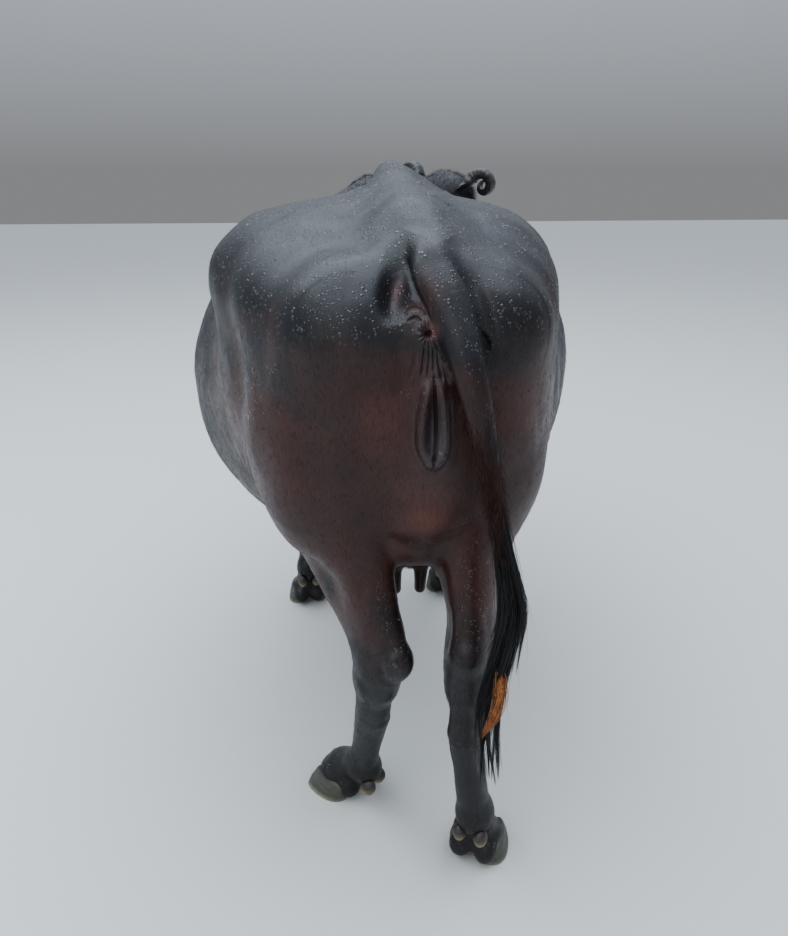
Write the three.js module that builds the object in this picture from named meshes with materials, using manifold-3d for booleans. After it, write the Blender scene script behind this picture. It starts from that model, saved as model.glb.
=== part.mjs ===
// A standing water buffalo cow with tightly coiled horns, life size, in millimetres.
// +Y is the way she faces, +X is her right side and +Z is up. The floor is z = 0.
import * as THREE from "three";
import { mergeVertices } from "three/addons/utils/BufferGeometryUtils.js";
import Module from "manifold-3d";

const wasm = await Module();
wasm.setup();

// Driving dimensions of the body
const GAP = 0.3; // between touching pieces
const CROUP_HEIGHT = 1380;
const WITHERS_HEIGHT = 1345;
const HOOK_HALF_WIDTH = 312; // middle of the body to a hip bone
const HIP_SWAY = -32; // the hips lean over her resting left leg
const PIN_HALF_WIDTH = 130;
const BELLY_HALF_WIDTH = 466;
const HEAD_LENGTH = 500; // poll to muzzle
const EYE_RADIUS = 23;
const EAR_LENGTH = 225;
const CLAW_LENGTH = 122;
const CLAW_WIDTH = 60;
const CLAW_HEIGHT = 74;
const CLAW_HEEL_DROP = 0.44; // share of its height that a claw loses at the heel
const CLAW_HEEL_SHARE = 0.78; // length behind its middle, to that ahead of it

// Where the middle of the body's outer box lies, which is the model's origin
const ORIGIN_X = 55.1;
const ORIGIN_Y = 1070.1;

const RIGHT = 1;
const LEFT = -1;
const deg = THREE.MathUtils.degToRad;
const mix = THREE.MathUtils.lerp;
const vec = (x, y, z) => new THREE.Vector3(x, y, z);
const Z_UP = [0, 0, 1];
const FORWARD = [0, 1, 0];

// Forms: each gives the distance of a point from its surface, less than 0 inside

const roundMin = (a, b, k) => {
  const h = Math.max(k - Math.abs(a - b), 0) / k;
  return Math.min(a, b) - h * h * k * 0.25;
};

const ellipsoidDistance = (x, y, z, rx, ry, rz) => {
  const k0 = Math.hypot(x / rx, y / ry, z / rz);
  const k1 = Math.hypot(x / (rx * rx), y / (ry * ry), z / (rz * rz));
  return k1 === 0 ? -Math.min(rx, ry, rz) : (k0 * (k0 - 1)) / k1;
};

// A muscle or bone end: an ellipsoid with half sizes along its own turned axes
function mass(at, half, blend, { pitch = 0, yaw = 0, roll = 0 } = {}) {
  const turn = new THREE.Euler(deg(pitch), deg(roll), deg(yaw), "ZYX");
  const back = new THREE.Matrix4().makeRotationFromEuler(turn).invert();
  const v = vec(0, 0, 0);
  const distance = (p) => {
    v.set(p.x - at[0], p.y - at[1], p.z - at[2]).applyMatrix4(back);
    return ellipsoidDistance(v.x, v.y, v.z, ...half);
  };
  return { distance, blend };
}

// A length of limb from one joint to the next, with half width and half depth at each end.
// `side` is the direction that the width lies in.
function limb(from, to, [w0, d0], [w1, d1], blend, side = [1, 0, 0]) {
  const a = vec(...from);
  const ab = vec(...to).sub(a);
  const length2 = ab.lengthSq();
  const along = ab.clone().normalize();
  const fore = vec(...side).cross(along).normalize();
  const across = along.clone().cross(fore);
  const q = vec(0, 0, 0);
  const distance = (p) => {
    q.copy(p).sub(a);
    const t = Math.min(Math.max(q.dot(ab) / length2, 0), 1);
    q.addScaledVector(ab, -t);
    const w = mix(w0, w1, t);
    const d = mix(d0, d1, t);
    return ellipsoidDistance(q.dot(across), q.dot(fore), q.dot(along), w, d, Math.min(w, d));
  };
  return { distance, blend };
}

// A rounded barrel through stations: place along it, top, widest level, bottom, half width
// and how far its middle lies to the side
function barrel(stations, roundness, blend, endDepth) {
  const column = (n) => {
    const curve = new THREE.CatmullRomCurve3(stations.map((s) => vec(s[0], s[n], 0)));
    const table = curve.getPoints(160);
    return (y) => {
      let i = 1;
      while (i < table.length - 1 && table[i].x < y) i++;
      const t = (y - table[i - 1].x) / (table[i].x - table[i - 1].x);
      return mix(table[i - 1].y, table[i].y, Math.min(Math.max(t, 0), 1));
    };
  };
  const [top, middle, bottom, halfWidth, sway] = [1, 2, 3, 4, 5].map(column);
  const first = stations[0][0];
  const last = stations[stations.length - 1][0];
  const distance = (p) => {
    const y = Math.min(Math.max(p.y, first), last);
    const level = middle(y);
    const half = p.z > level ? top(y) - level : level - bottom(y);
    const [x, dy, z] = [p.x - sway(y), p.y - y, p.z - level];
    const k =
      (Math.abs(x / halfWidth(y)) ** roundness +
        Math.abs(dy / endDepth) ** roundness +
        Math.abs(z / half) ** roundness) **
      (1 / roundness);
    const r = Math.hypot(x, dy, z);
    return k < 0.05 ? -half : r * (1 - 1 / k);
  };
  return { distance, blend };
}

const hollow = (form) => ({ ...form, carved: true });

// Several forms in a row that make one form, without swelling where they meet
function row(forms, blend, inner = 6) {
  const distance = (p) =>
    forms.reduce((d, form) => roundMin(d, form.distance(p), inner), 1e6);
  return { distance, blend };
}

// The joined surface of a list of forms, grown outwards by `grown`
function joined(forms, grown = 0) {
  return (p) => {
    let d = 1e6;
    for (const form of forms) {
      const own = form.distance(p);
      d = form.carved ? -roundMin(-d, own, form.blend) : roundMin(d, own, form.blend);
    }
    return d - grown;
  };
}

// Both sides of the body carry the same form, mirrored
const pair = (make) => [make(LEFT), make(RIGHT)];

// Trunk

const SPINE = [
  [0, 75, 1216],
  [HIP_SWAY * 0.3, 230, 1290],
  [HIP_SWAY * 0.5, 440, CROUP_HEIGHT - 40],
  [0, 640, 1312],
  [0, 880, 1282],
  [0, 1080, 1284],
  [0, 1250, WITHERS_HEIGHT - 42],
  [0, 1390, 1268],
];

// Place along the trunk, top, widest level, bottom, half width, middle
const TRUNK_STATIONS = [
  [80, 1190, 1000, 800, 120, 0],
  [220, 1250, 990, 700, 235, -6],
  [430, 1298, 960, 590, 328, -18],
  [610, 1300, 890, 490, 410, -10],
  [790, 1292, 870, 435, BELLY_HALF_WIDTH, 0],
  [980, 1285, 885, 455, 436, 4],
  [1140, 1285, 925, 520, 350, 0],
  [1290, 1265, 955, 600, 262, 0],
  [1420, 1205, 955, 690, 185, 0],
];

const spineRidge = row(
  SPINE.slice(1).map((to, i) => limb(SPINE[i], to, [34, 34], [34, 34], 1)),
  90,
  12,
);

const hookAt = (s) => [s * (HOOK_HALF_WIDTH - 70) + HIP_SWAY, 430, 1206];

const trunkForms = [
  barrel(TRUNK_STATIONS, 2.08, 1, 80),
  spineRidge,
  // Rump: croup muscles, hip bones, the slopes from the ridge to them, and the pin bones
  ...pair((s) => mass([s * 146 - 31, 330, 1172], [138, 200, 112], 80, { roll: s * 12, pitch: 6 })),
  ...pair((s) => mass(hookAt(s), [72, 96, 50], 80, { roll: s * 20 })),
  ...pair((s) =>
    limb([s * 44 - 14, 410, 1280], [s * 214 + HIP_SWAY, 425, 1232], [120, 28], [100, 30], 70, FORWARD),
  ),
  ...pair((s) => limb([s * 34, 240, 1228], [s * 118, 160, 1170], [90, 28], [70, 28], 80, FORWARD)),
  ...pair((s) => limb([s * 138 - 12, 270, 1140], [s * 110 - 10, 104, 1118], [110, 104], [70, 74], 100)),
  ...pair((s) => mass([s * (PIN_HALF_WIDTH - 4), 66, 1146], [44, 40, 40], 80)),
  limb([-6, 330, 1288], [2, 100, 1220], [46, 32], [38, 34], 84),
  limb([2, 100, 1220], [12, 40, 1212], [38, 34], [30, 26], 60),
  // Thighs and the folds of the flanks
  ...pair((s) => mass([s * 170 - 22, 250, 940], [108, 200, 260], 90, { pitch: -6 })),
  ...pair((s) => limb([s * 106 - 12, 78, 1110], [s * 100 - 12, 140, 760], [84, 84], [66, 84], 90)),
  ...pair((s) => mass([s * 184 - 16, 318, 765], [58, 84, 105], 50)),
  ...pair((s) =>
    limb([s * 268 + HIP_SWAY, 470, 1120], [s * 256 - 6, 420, 840], [54, 140], [50, 110], 90),
  ),
  // Shoulders, breast and the base of the neck
  ...pair((s) => mass([s * 192, 1270, 1010], [90, 150, 240], 60, { pitch: -14 })),
  ...pair((s) => mass([s * 222, 1150, 790], [66, 120, 140], 60)),
  ...pair((s) => mass([s * 145, 1425, 930], [72, 80, 120], 60)),
  mass([0, 1380, 770], [120, 140, 150], 60),
  limb([0, 1240, 1030], [36, 1440, 1072], [204, 264], [112, 180], 90),
  // Below the tail
  limb([0, 34, 1120], [0, 80, 820], [56, 40], [72, 44], 60),
  limb([10, 12, 1040], [12, 6, 934], [14, 10], [19, 14], 26),
  mass([4, 62, 812], [46, 44, 46], 44),
  ...pair((s) => hollow(mass([s * 352, 610, 1236], [56, 90, 44], 90))),
];

const udderForms = [
  mass([-2, 300, 700], [112, 160, 82], 40),
  mass([-3, 150, 748], [58, 96, 66], 44),
  ...pair((s) => limb([s * 28 - 3, 205, 668], [s * 24 - 4, 200, 588], [18, 18], [11, 11], 16)),
  ...pair((s) => limb([s * 46, 330, 640], [s * 48, 336, 574], [17, 17], [11, 11], 14)),
];

// Legs: joints from the top down, as placed in the stance

const HIND = {
  [RIGHT]: {
    stifle: [168, 305, 765],
    gaskin: [96, 150, 800],
    gaskinHalf: 84,
    tendon: [81, 58, 744],
    heel: [81, 14, 554],
    heelHalf: [25, 27, 30],
    hock: [94, 62, 492],
    cannon: [88, 52, 350],
    fetlock: [122, 72, 140],
    foot: [138, 104, 66],
    toeOut: 30,
  },
  [LEFT]: {
    stifle: [-196, 345, 760],
    gaskin: [-128, 150, 800],
    gaskinHalf: 57,
    tendon: [-84, 92, 740],
    heel: [-42, 46, 524],
    heelHalf: [30, 28, 40],
    hock: [-72, 92, 488],
    cannon: [-78, 160, 330],
    fetlock: [-96, 262, 112],
    foot: [-138, 322, 62],
    toeOut: 56,
  },
};

const FORE = {
  [RIGHT]: {
    elbow: [232, 1165, 720],
    knee: [226, 1190, 412],
    fetlock: [238, 1180, 142],
    foot: [242, 1222, 62],
    toeOut: 8,
  },
  [LEFT]: {
    elbow: [-232, 1150, 720],
    knee: [-212, 1170, 412],
    fetlock: [-222, 1160, 142],
    foot: [-226, 1200, 62],
    toeOut: 8,
  },
};

const between = (a, b, t) => a.map((value, i) => mix(value, b[i], t));
const moved = (a, x, y, z) => [a[0] + x, a[1] + y, a[2] + z];
const sideways = (s, angle) => [Math.cos(deg(angle)), -s * Math.sin(deg(angle)), 0];
const ahead = (s, angle) => [s * Math.sin(deg(angle)), Math.cos(deg(angle)), 0];
const step = (a, direction, by, up = 0) =>
  [a[0] + direction[0] * by, a[1] + direction[1] * by, a[2] + up];

const turnOf = (across) => (Math.atan2(across[1], across[0]) * 180) / Math.PI;

function footForms(fetlock, foot, across, forward) {
  return [
    mass(fetlock, [34, 36, 40], 20),
    mass(step(fetlock, forward, -18, -8), [26, 22, 32], 18),
    limb(fetlock, foot, [32, 33], [42, 38], 18, across),
    mass(step(foot, forward, 4, -6), [52, 48, 20], 16, { yaw: turnOf(across) }),
    ...pair((s) => mass(step(step(foot, forward, -32, 36 - foot[2]), across, 27 * s), [25, 25, 28], 14)),
  ];
}

function hindForms(s) {
  const { stifle, gaskin, gaskinHalf, tendon, heel, heelHalf, hock, cannon } = HIND[s];
  const { fetlock, foot, toeOut } = HIND[s];
  const turn = toeOut * 0.5;
  const across = sideways(s, turn);
  return [
    limb(stifle, moved(hock, s * 4, 6, 44), [74, 84], [40, 50], 40),
    limb(gaskin, moved(hock, s * 4, -4, 90), [gaskinHalf, 84], [36, 46], 40),
    limb(tendon, heel, [26, 22], [20, 20], 40),
    mass(heel, heelHalf, 12),
    limb(heel, between(hock, cannon, 0.2), [22, 24], [28, 30], 24, across),
    limb(moved(hock, 0, 0, 26), between(hock, cannon, 0.3), [40, 47], [33, 40], 34, across),
    row([
      limb(hock, cannon, [35, 42], [32, 36], 6, across),
      limb(cannon, fetlock, [32, 36], [32, 34], 6, across),
    ], 30),
    ...footForms(fetlock, foot, sideways(s, toeOut), ahead(s, toeOut)),
  ];
}

function foreForms(s) {
  const { elbow, knee, fetlock, foot, toeOut } = FORE[s];
  const across = sideways(s, toeOut);
  const forward = ahead(s, toeOut);
  const below = moved(knee, 0, 0, -62);
  return [
    limb(moved(elbow, 0, 20, 30), between(elbow, knee, 0.55), [68, 100], [48, 62], 60),
    limb(between(elbow, knee, 0.45), moved(knee, 0, 0, 40), [50, 60], [38, 42], 40, across),
    mass(step(knee, forward, -34, 36), [20, 20, 30], 20),
    limb(moved(knee, 0, 0, 30), moved(knee, 0, 0, -34), [44, 42], [42, 38], 26, across),
    limb(below, between(knee, fetlock, 0.6), [33, 34], [29, 31], 26, across),
    limb(between(knee, fetlock, 0.6), fetlock, [29, 31], [30, 33], 20, across),
    ...footForms(fetlock, foot, across, forward),
  ];
}

// Neck and head. The head has its own frame: x to her right, y from the poll to the muzzle,
// z out of the forehead.

const POLL = [318, 1868, 1260];
const HEAD_TURN = { yaw: -33, pitch: -44, roll: 7 };

const headMatrix = new THREE.Matrix4()
  .makeRotationFromEuler(
    new THREE.Euler(deg(HEAD_TURN.pitch), deg(HEAD_TURN.roll), deg(HEAD_TURN.yaw), "ZXY"),
  )
  .setPosition(...POLL);
const headInverse = headMatrix.clone().invert();
const onHead = (x, y, z) => vec(x, y, z).applyMatrix4(headMatrix);

const NECK_LINE = [
  [0, 1290, 1040],
  [60, 1490, 1085],
  [200, 1710, 1150],
  [312, 1858, 1198],
];
const NECK_HALF = [
  [168, 236],
  [124, 196],
  [96, 152],
  [86, 116],
];
const CREST_LINE = [
  [0, 1330, 1262],
  [90, 1540, 1270],
  [206, 1715, 1274],
  [302, 1850, 1280],
];

const neckForms = [
  row(NECK_LINE.slice(1).map((to, i) => limb(NECK_LINE[i], to, NECK_HALF[i], NECK_HALF[i + 1], 1)), 60, 20),
  row(CREST_LINE.slice(1).map((to, i) => limb(CREST_LINE[i], to, [42, 42], [42, 40], 1)), 70, 12),
];

// Stations from the poll to the muzzle: place, forehead, widest level, jaw, half width
const HEAD_STATIONS = [
  [-30, 60, 0, -84, 80, 0],
  [40, 80, -6, -122, 94, 0],
  [120, 80, -14, -142, 98, 0],
  [210, 62, -22, -132, 84, 0],
  [300, 50, -24, -106, 72, 0],
  [390, 46, -18, -88, 72, 0],
  [HEAD_LENGTH - 40, 38, -14, -74, 74, 0],
];

const headLocalForms = [
  barrel(HEAD_STATIONS, 2.4, 1, 36),
  mass([0, 6, 44], [84, 66, 46], 40),
  ...pair((s) => mass([s * 70, 104, -70], [36, 74, 66], 36)),
  ...pair((s) => mass([s * 84, 128, 30], [30, 46, 30], 26)),
  limb([0, 170, 42], [0, 420, 34], [32, 20], [34, 16], 30),
  ...pair((s) => limb([s * 56, 200, -20], [s * 54, 320, -26], [22, 24], [16, 20], 30)),
  ...pair((s) => mass([s * 46, HEAD_LENGTH - 44, 8], [38, 42, 40], 26)),
  ...pair((s) => limb([s * 60, 350, -34], [s * 44, HEAD_LENGTH - 42, -18], [16, 20], [22, 20], 16)),
  ...pair((s) => limb([s * 54, 340, -74], [s * 38, HEAD_LENGTH - 58, -62], [15, 16], [22, 18], 16)),
  mass([0, HEAD_LENGTH - 62, -64], [52, 44, 22], 20),
  ...pair((s) => hollow(mass([s * 84, 196, 0], [16, 40, 20], 26))),
];

const headForms = headLocalForms.map((form) => {
  const local = vec(0, 0, 0);
  return {
    ...form,
    distance: (p) => form.distance(local.copy(p).applyMatrix4(headInverse)),
  };
});

// Tail: the bony part, then the hair of the switch

const TAIL_LINE = [
  [0, 150, 1204],
  [-3, 80, 1228],
  [14, 12, 1206],
  [40, -24, 1146],
  [56, -44, 1085],
  [80, -54, 985],
  [96, -57, 900],
  [116, -58, 800],
];
const TAIL_HALF_WIDTHS = [38, 36, 31, 29, 26, 19, 14, 9];
const SWITCH_LINE = [
  [96, -56, 905],
  [118, -58, 800],
  [138, -60, 690],
  [126, -56, 580],
  [110, -52, 470],
  [117, -50, 330],
];
const SWITCH_HALF_WIDTHS = [14, 21, 24, 22, 24, 10];
const SWITCH_FLATNESS = 0.6;
const CORE = { from: 0, to: 0.5, share: 0.6, steps: 3 }; // dense hair at the roots of the locks

const chain = (line, halfWidths, flatness, blend) =>
  line.slice(1).map((to, i) => {
    const [w0, w1] = [halfWidths[i], halfWidths[i + 1]];
    return limb(line[i], to, [w0, w0 * flatness], [w1, w1 * flatness], blend);
  });

const tailForms = chain(TAIL_LINE, TAIL_HALF_WIDTHS, 0.85, 12);

// Solids

// How far out from a point inside the surface lies in a direction
function reach(field, origin, direction) {
  const p = vec(0, 0, 0);
  const at = (r) => field(p.copy(origin).addScaledVector(direction, r));
  let inside = 0;
  let outside = 0;
  for (let d = at(0); d < 0 && outside < 3000; d = at(outside)) {
    inside = outside;
    outside += Math.max(-d * 0.7, 1);
  }
  for (let i = 0; i < 16; i++) {
    const middle = (inside + outside) / 2;
    if (at(middle) < 0) inside = middle;
    else outside = middle;
  }
  return Math.max(inside, 0.5);
}

// A closed skin: a sphere whose vertices are moved out from a bone line to the surface.
// `caps` are the shares of its rings that close the two ends.
function wrapped(line, around, along, field, up, caps = [0.15, 0.15]) {
  const curve = new THREE.CatmullRomCurve3(line.map((p) => vec(...p)));
  const shape = new THREE.SphereGeometry(1, around, along);
  const { position, uv } = shape.attributes;
  const [first, last] = caps;
  for (let i = 0; i < position.count; i++) {
    const s = 1 - uv.getY(i);
    const t = Math.min(Math.max((s - first) / (1 - first - last), 0), 1);
    let tilt = 0;
    if (s < first) tilt = -(1 - s / first) * (Math.PI / 2);
    if (s > 1 - last) tilt = (1 - (1 - s) / last) * (Math.PI / 2);
    const origin = curve.getPointAt(t);
    const tangent = curve.getTangentAt(t);
    const upward = vec(...up).addScaledVector(tangent, -tangent.dot(vec(...up))).normalize();
    const across = tangent.clone().cross(upward);
    const angle = uv.getX(i) * 2 * Math.PI;
    const direction = across
      .multiplyScalar(Math.cos(angle) * Math.cos(tilt))
      .addScaledVector(upward, Math.sin(angle) * Math.cos(tilt))
      .addScaledVector(tangent, Math.sin(tilt));
    const out = reach(field, origin, direction);
    position.setXYZ(i, ...origin.addScaledVector(direction, out));
  }
  return solid(shape);
}

function solid(shape) {
  const bare = shape.clone();
  bare.deleteAttribute("normal");
  bare.deleteAttribute("uv");
  const merged = mergeVertices(bare, 1e-3);
  const made = new wasm.Manifold(
    new wasm.Mesh({
      numProp: 3,
      vertProperties: new Float32Array(merged.attributes.position.array),
      triVerts: new Uint32Array(merged.index.array),
    }),
  );
  if (made.volume() > 0) return made;
  const { index } = merged;
  for (let i = 0; i < index.count; i += 3) {
    const [b, c] = [index.getX(i + 1), index.getX(i + 2)];
    index.setX(i + 1, c);
    index.setX(i + 2, b);
  }
  return new wasm.Manifold(
    new wasm.Mesh({
      numProp: 3,
      vertProperties: new Float32Array(merged.attributes.position.array),
      triVerts: new Uint32Array(index.array),
    }),
  );
}

// A closed solid through rings of points, with a point in the middle of each end
function lofted(rings) {
  const count = rings[0].length;
  const middle = (ring) =>
    ring.reduce((sum, p) => sum.add(p), vec(0, 0, 0)).divideScalar(ring.length);
  const points = [...rings.flat(), middle(rings[0]), middle(rings[rings.length - 1])];
  const faces = [];
  for (let r = 0; r < rings.length - 1; r++) {
    for (let i = 0; i < count; i++) {
      const j = (i + 1) % count;
      const [a, b, c, d] = [r * count + i, r * count + j, (r + 1) * count + j, (r + 1) * count + i];
      faces.push(a, b, c, a, c, d);
    }
  }
  const start = rings.length * count;
  const endRow = (rings.length - 1) * count;
  for (let i = 0; i < count; i++) {
    const j = (i + 1) % count;
    faces.push(start, j, i);
    faces.push(start + 1, endRow + i, endRow + j);
  }
  const shape = new THREE.BufferGeometry().setFromPoints(points);
  shape.setIndex(faces);
  return solid(shape);
}

const largest = (made) =>
  made.decompose().reduce((best, body) => (body.volume() > best.volume() ? body : best));

// A box on the floor's axes or turned, used to part the body
function region([x, y, z], [sx, sy, sz], turn = [0, 0, 0], grown = 0) {
  const shape = new THREE.BoxGeometry(sx + 2 * grown, sy + 2 * grown, sz + 2 * grown);
  shape.rotateX(deg(turn[0])).rotateY(deg(turn[1])).rotateZ(deg(turn[2])).translate(x, y, z);
  return solid(shape);
}

// Horns: a tight coil out of the side of the poll, flat in section

const HORN_COIL = { x: 146, y: -41, z: 44, radius: 40, forward: 70, turns: 1.4 };
const HORN_TILT = 40; // degrees that the coil is turned back, so that it stands upright
const HORN_START = 236; // degrees round the coil where it leaves the skull
const HORN_HALF = { thickness: 23, width: 33 };
const HORN_TIP = { thickness: 5, width: 6 };

function horn(s) {
  const rings = [];
  const steps = 20;
  const sides = 8;
  for (let i = 0; i <= steps; i++) {
    const t = i / steps;
    const angle = deg(HORN_START) - t * HORN_COIL.turns * 2 * Math.PI;
    const radius = mix(HORN_COIL.radius, 14, t ** 1.4);
    const root = Math.max(0.12 - t, 0) * 420; // runs on into the skull
    const [middleX, forward] = [Math.cos(angle) * radius - root, (t - 0.5) * HORN_COIL.forward];
    const thickness = mix(HORN_HALF.thickness, HORN_TIP.thickness, t ** 1.6);
    const width = mix(HORN_HALF.width, HORN_TIP.width, t ** 1.3);
    const ring = [];
    for (let k = 0; k < sides; k++) {
      const a = (k / sides) * 2 * Math.PI;
      const out = Math.cos(a) * thickness;
      const x = HORN_COIL.x + middleX + Math.cos(angle) * out;
      const y = forward + Math.sin(a) * width;
      const z = Math.sin(angle) * (radius + out);
      const leaned = vec(0, y, z).applyAxisAngle(vec(1, 0, 0), deg(HORN_TILT));
      ring.push(onHead(s * x, HORN_COIL.y + leaned.y, HORN_COIL.z + leaned.z));
    }
    rings.push(s > 0 ? ring : ring.reverse());
  }
  return lofted(rings);
}

// Ears: a leaf with a hollow front, from below the horn out to the side and a little down

const EAR = { x: 84, y: 54, z: -66, halfWidth: 46, thickness: 7 };

function ear(s) {
  const steps = 10;
  const half = 6;
  const rings = [];
  for (let i = 0; i <= steps; i++) {
    const t = i / steps;
    const out = t * EAR_LENGTH;
    const width = mix(20, EAR.halfWidth, Math.sin(Math.min(t * 1.9, 1) * (Math.PI / 2)));
    const tip = Math.sqrt(Math.max(1 - Math.max(t - 0.45, 0) ** 2 / 0.305, 0.002));
    const halfWidth = width * tip;
    const depth = mix(34, 13, Math.min(t * 1.6, 1)) * Math.max(tip, 0.12);
    const droop = -52 * t * t;
    const ring = [];
    const put = (angle, inward) => {
      const across = Math.cos(angle) * (halfWidth - inward * 0.6);
      const back = Math.sin(angle) * depth - inward;
      const x = EAR.x + out * 0.94;
      const y = EAR.y - back * 0.9 + droop * 0.2;
      ring.push(onHead(s * x, y - out * 0.16, EAR.z + across + droop));
    };
    for (let k = 0; k <= half; k++) put((k / half) * Math.PI, 0);
    for (let k = half - 1; k > 0; k--) put((k / half) * Math.PI, EAR.thickness * Math.max(tip, 0.3));
    rings.push(s > 0 ? ring : ring.reverse());
  }
  return lofted(rings);
}

// Eyes with their lids, nostrils and the line of the mouth

const EYE = { x: 97, y: 132, z: 28 };

function eye(s, radius = EYE_RADIUS) {
  const shape = new THREE.SphereGeometry(radius, 12, 8);
  shape.translate(s * EYE.x, EYE.y, EYE.z);
  return solid(shape.applyMatrix4(headMatrix));
}

function lids(s) {
  const shape = new THREE.TorusGeometry(21, 7, 6, 16);
  shape.scale(1.25, 0.8, 1.2);
  shape.rotateY(deg(84)).rotateX(deg(-6));
  shape.translate(EYE.x + 12, EYE.y, EYE.z);
  if (s < 0) shape.applyMatrix4(new THREE.Matrix4().makeScale(-1, 1, 1));
  return solid(shape.applyMatrix4(headMatrix));
}

function nostril(s) {
  const shape = new THREE.SphereGeometry(1, 10, 6);
  shape.scale(14, 36, 22);
  shape.rotateZ(deg(-34)).rotateY(deg(-28));
  shape.translate(58, HEAD_LENGTH - 10, 12);
  if (s < 0) shape.applyMatrix4(new THREE.Matrix4().makeScale(-1, 1, 1));
  return solid(shape.applyMatrix4(headMatrix));
}

const MOUTH_LINE = [
  [-82, 338, -58],
  [-80, 390, -54],
  [-74, 436, -46],
  [-50, 480, -42],
  [0, 500, -40],
  [50, 480, -42],
  [74, 436, -46],
  [80, 390, -54],
  [82, 338, -58],
];

// The slit between the lips, with a lozenge section
function mouthLine() {
  const half = 6;
  const path = new THREE.CatmullRomCurve3(MOUTH_LINE.map((p) => onHead(...p)));
  const corners = [[half, 0], [0, half], [-half, 0], [0, -half]];
  const section = new THREE.Shape(corners.map(([x, y]) => new THREE.Vector2(x, y)));
  return solid(new THREE.ExtrudeGeometry(section, { steps: 16, extrudePath: path }));
}

// Claws: two to a foot, with a flat sole, and two small ones behind the fetlock

function claw(s, foot, toeOut, outer) {
  const forward = ahead(s, toeOut);
  const across = sideways(s, toeOut);
  const sides = 12;
  const levels = [
    { z: 0, size: 1, shift: 0 },
    { z: 30, size: 0.92, shift: -8 },
    { z: 54, size: 0.82, shift: -17 },
    { z: CLAW_HEIGHT, size: 0.64, shift: -26 },
  ];
  const rings = levels.map(({ z, size, shift }) => {
    const ring = [];
    for (let k = 0; k < sides; k++) {
      const a = (k / sides) * 2 * Math.PI;
      const toe = Math.cos(a);
      const wide = Math.sin(a);
      const reach = toe < 0 ? CLAW_HEEL_SHARE : 1;
      const y = 18 + shift + toe * CLAW_LENGTH * 0.5 * size * reach;
      const flat = wide < 0 ? 0.72 : 1; // flatter towards the other claw
      const x = 2 + CLAW_WIDTH * 0.5 + wide * CLAW_WIDTH * 0.5 * size * flat * (1 - 0.22 * toe);
      const level = z * (1 - CLAW_HEEL_DROP * (1 - toe) * 0.5);
      const p = [foot[0], foot[1], 0].map(
        (value, i) => value + across[i] * x * outer * s + forward[i] * y,
      );
      ring.push(vec(p[0], p[1], level));
    }
    return outer * s > 0 ? ring : ring.reverse();
  });
  return lofted(rings);
}

function dewclaw(s, fetlock, toeOut, outer) {
  const forward = ahead(s, toeOut);
  const across = sideways(s, toeOut);
  const shape = new THREE.SphereGeometry(1, 8, 6);
  shape.scale(14, 18, 22).rotateX(deg(24));
  shape.rotateZ(-s * deg(toeOut));
  const x = 22 * outer * s;
  shape.translate(
    fetlock[0] + across[0] * x - forward[0] * 26,
    fetlock[1] + across[1] * x - forward[1] * 26,
    fetlock[2] - 40,
  );
  return solid(shape);
}

// The switch: flat tapered locks, each bent and lying over the next, round a short core

const LOCKS = { count: 14, steps: 3, halfWidth: 16, halfThickness: 3.6, tip: 0.12 };

function seeded(seed) {
  let state = seed;
  return () => {
    state = (state * 1664525 + 1013904223) % 4294967296;
    return state / 4294967296;
  };
}

function tailSwitch() {
  const draw = seeded(11);
  const curve = new THREE.CatmullRomCurve3(SWITCH_LINE.map((p) => vec(...p)));
  const spread = new THREE.CatmullRomCurve3(SWITCH_HALF_WIDTHS.map((w, i) => vec(w, i, 0)));
  const halfAt = (t) => spread.getPoint(Math.min(Math.max(t, 0), 1)).x;

  // A flat ring round the place at share t, turned by `around` and moved out from the middle
  const ring = (t, around, out, halfWidth, halfThickness, sides) => {
    const centre = curve.getPoint(Math.min(t, 1));
    const outward = vec(Math.cos(around), Math.sin(around) * SWITCH_FLATNESS, 0);
    const across = vec(-Math.sin(around), Math.cos(around) * SWITCH_FLATNESS, 0).normalize();
    centre.addScaledVector(outward, out);
    return Array.from({ length: sides }, (_, k) => {
      const a = (k / sides) * 2 * Math.PI;
      return centre
        .clone()
        .addScaledVector(across, -Math.cos(a) * halfWidth)
        .addScaledVector(outward, -Math.sin(a) * halfThickness);
    });
  };

  const coreRings = [];
  for (let i = 0; i <= CORE.steps; i++) {
    const t = mix(CORE.from, CORE.to, i / CORE.steps);
    const half = halfAt(t) * CORE.share * (i < CORE.steps ? 1 : 0.3);
    coreRings.push(ring(t, 0, 0, half * SWITCH_FLATNESS, half, 5));
  }
  let made = lofted(coreRings);
  for (let i = 0; i < LOCKS.count; i++) {
    const share = i / (LOCKS.count - 1);
    const start = mix(0.02, 0.44, share);
    const length = mix(0.36, 0.58, share) + (draw() - 0.5) * 0.06;
    const around = i * 2.4 + draw() * 0.4;
    const sway = (draw() - 0.5) * 0.4;
    const wide = LOCKS.halfWidth * mix(0.8, 1.2, draw());
    const rings = [];
    for (let k = 0; k <= LOCKS.steps; k++) {
      const u = k / LOCKS.steps;
      const t = Math.min(start + length * u, 1);
      const taper = mix(1, LOCKS.tip, u ** 1.6);
      const out = halfAt(t) * mix(0.5, 0.95, Math.sin(Math.min(u * 2.4, 2.1)));
      rings.push(ring(t, around + sway * u, out, wide * taper, LOCKS.halfThickness * taper, 4));
    }
    made = made.add(lofted(rings));
  }
  return made;
}

// The flesh: each piece as it is, and grown by the gap to cut its neighbours clear of it

const trunkSkin = (grown) =>
  wrapped(
    [[0, 260, 1000], [0, 520, 960], [0, 800, 900], [0, 1080, 930], [0, 1300, 980]],
    32,
    42,
    joined(trunkForms, grown),
    Z_UP,
    [0.28, 0.16],
  );

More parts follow.
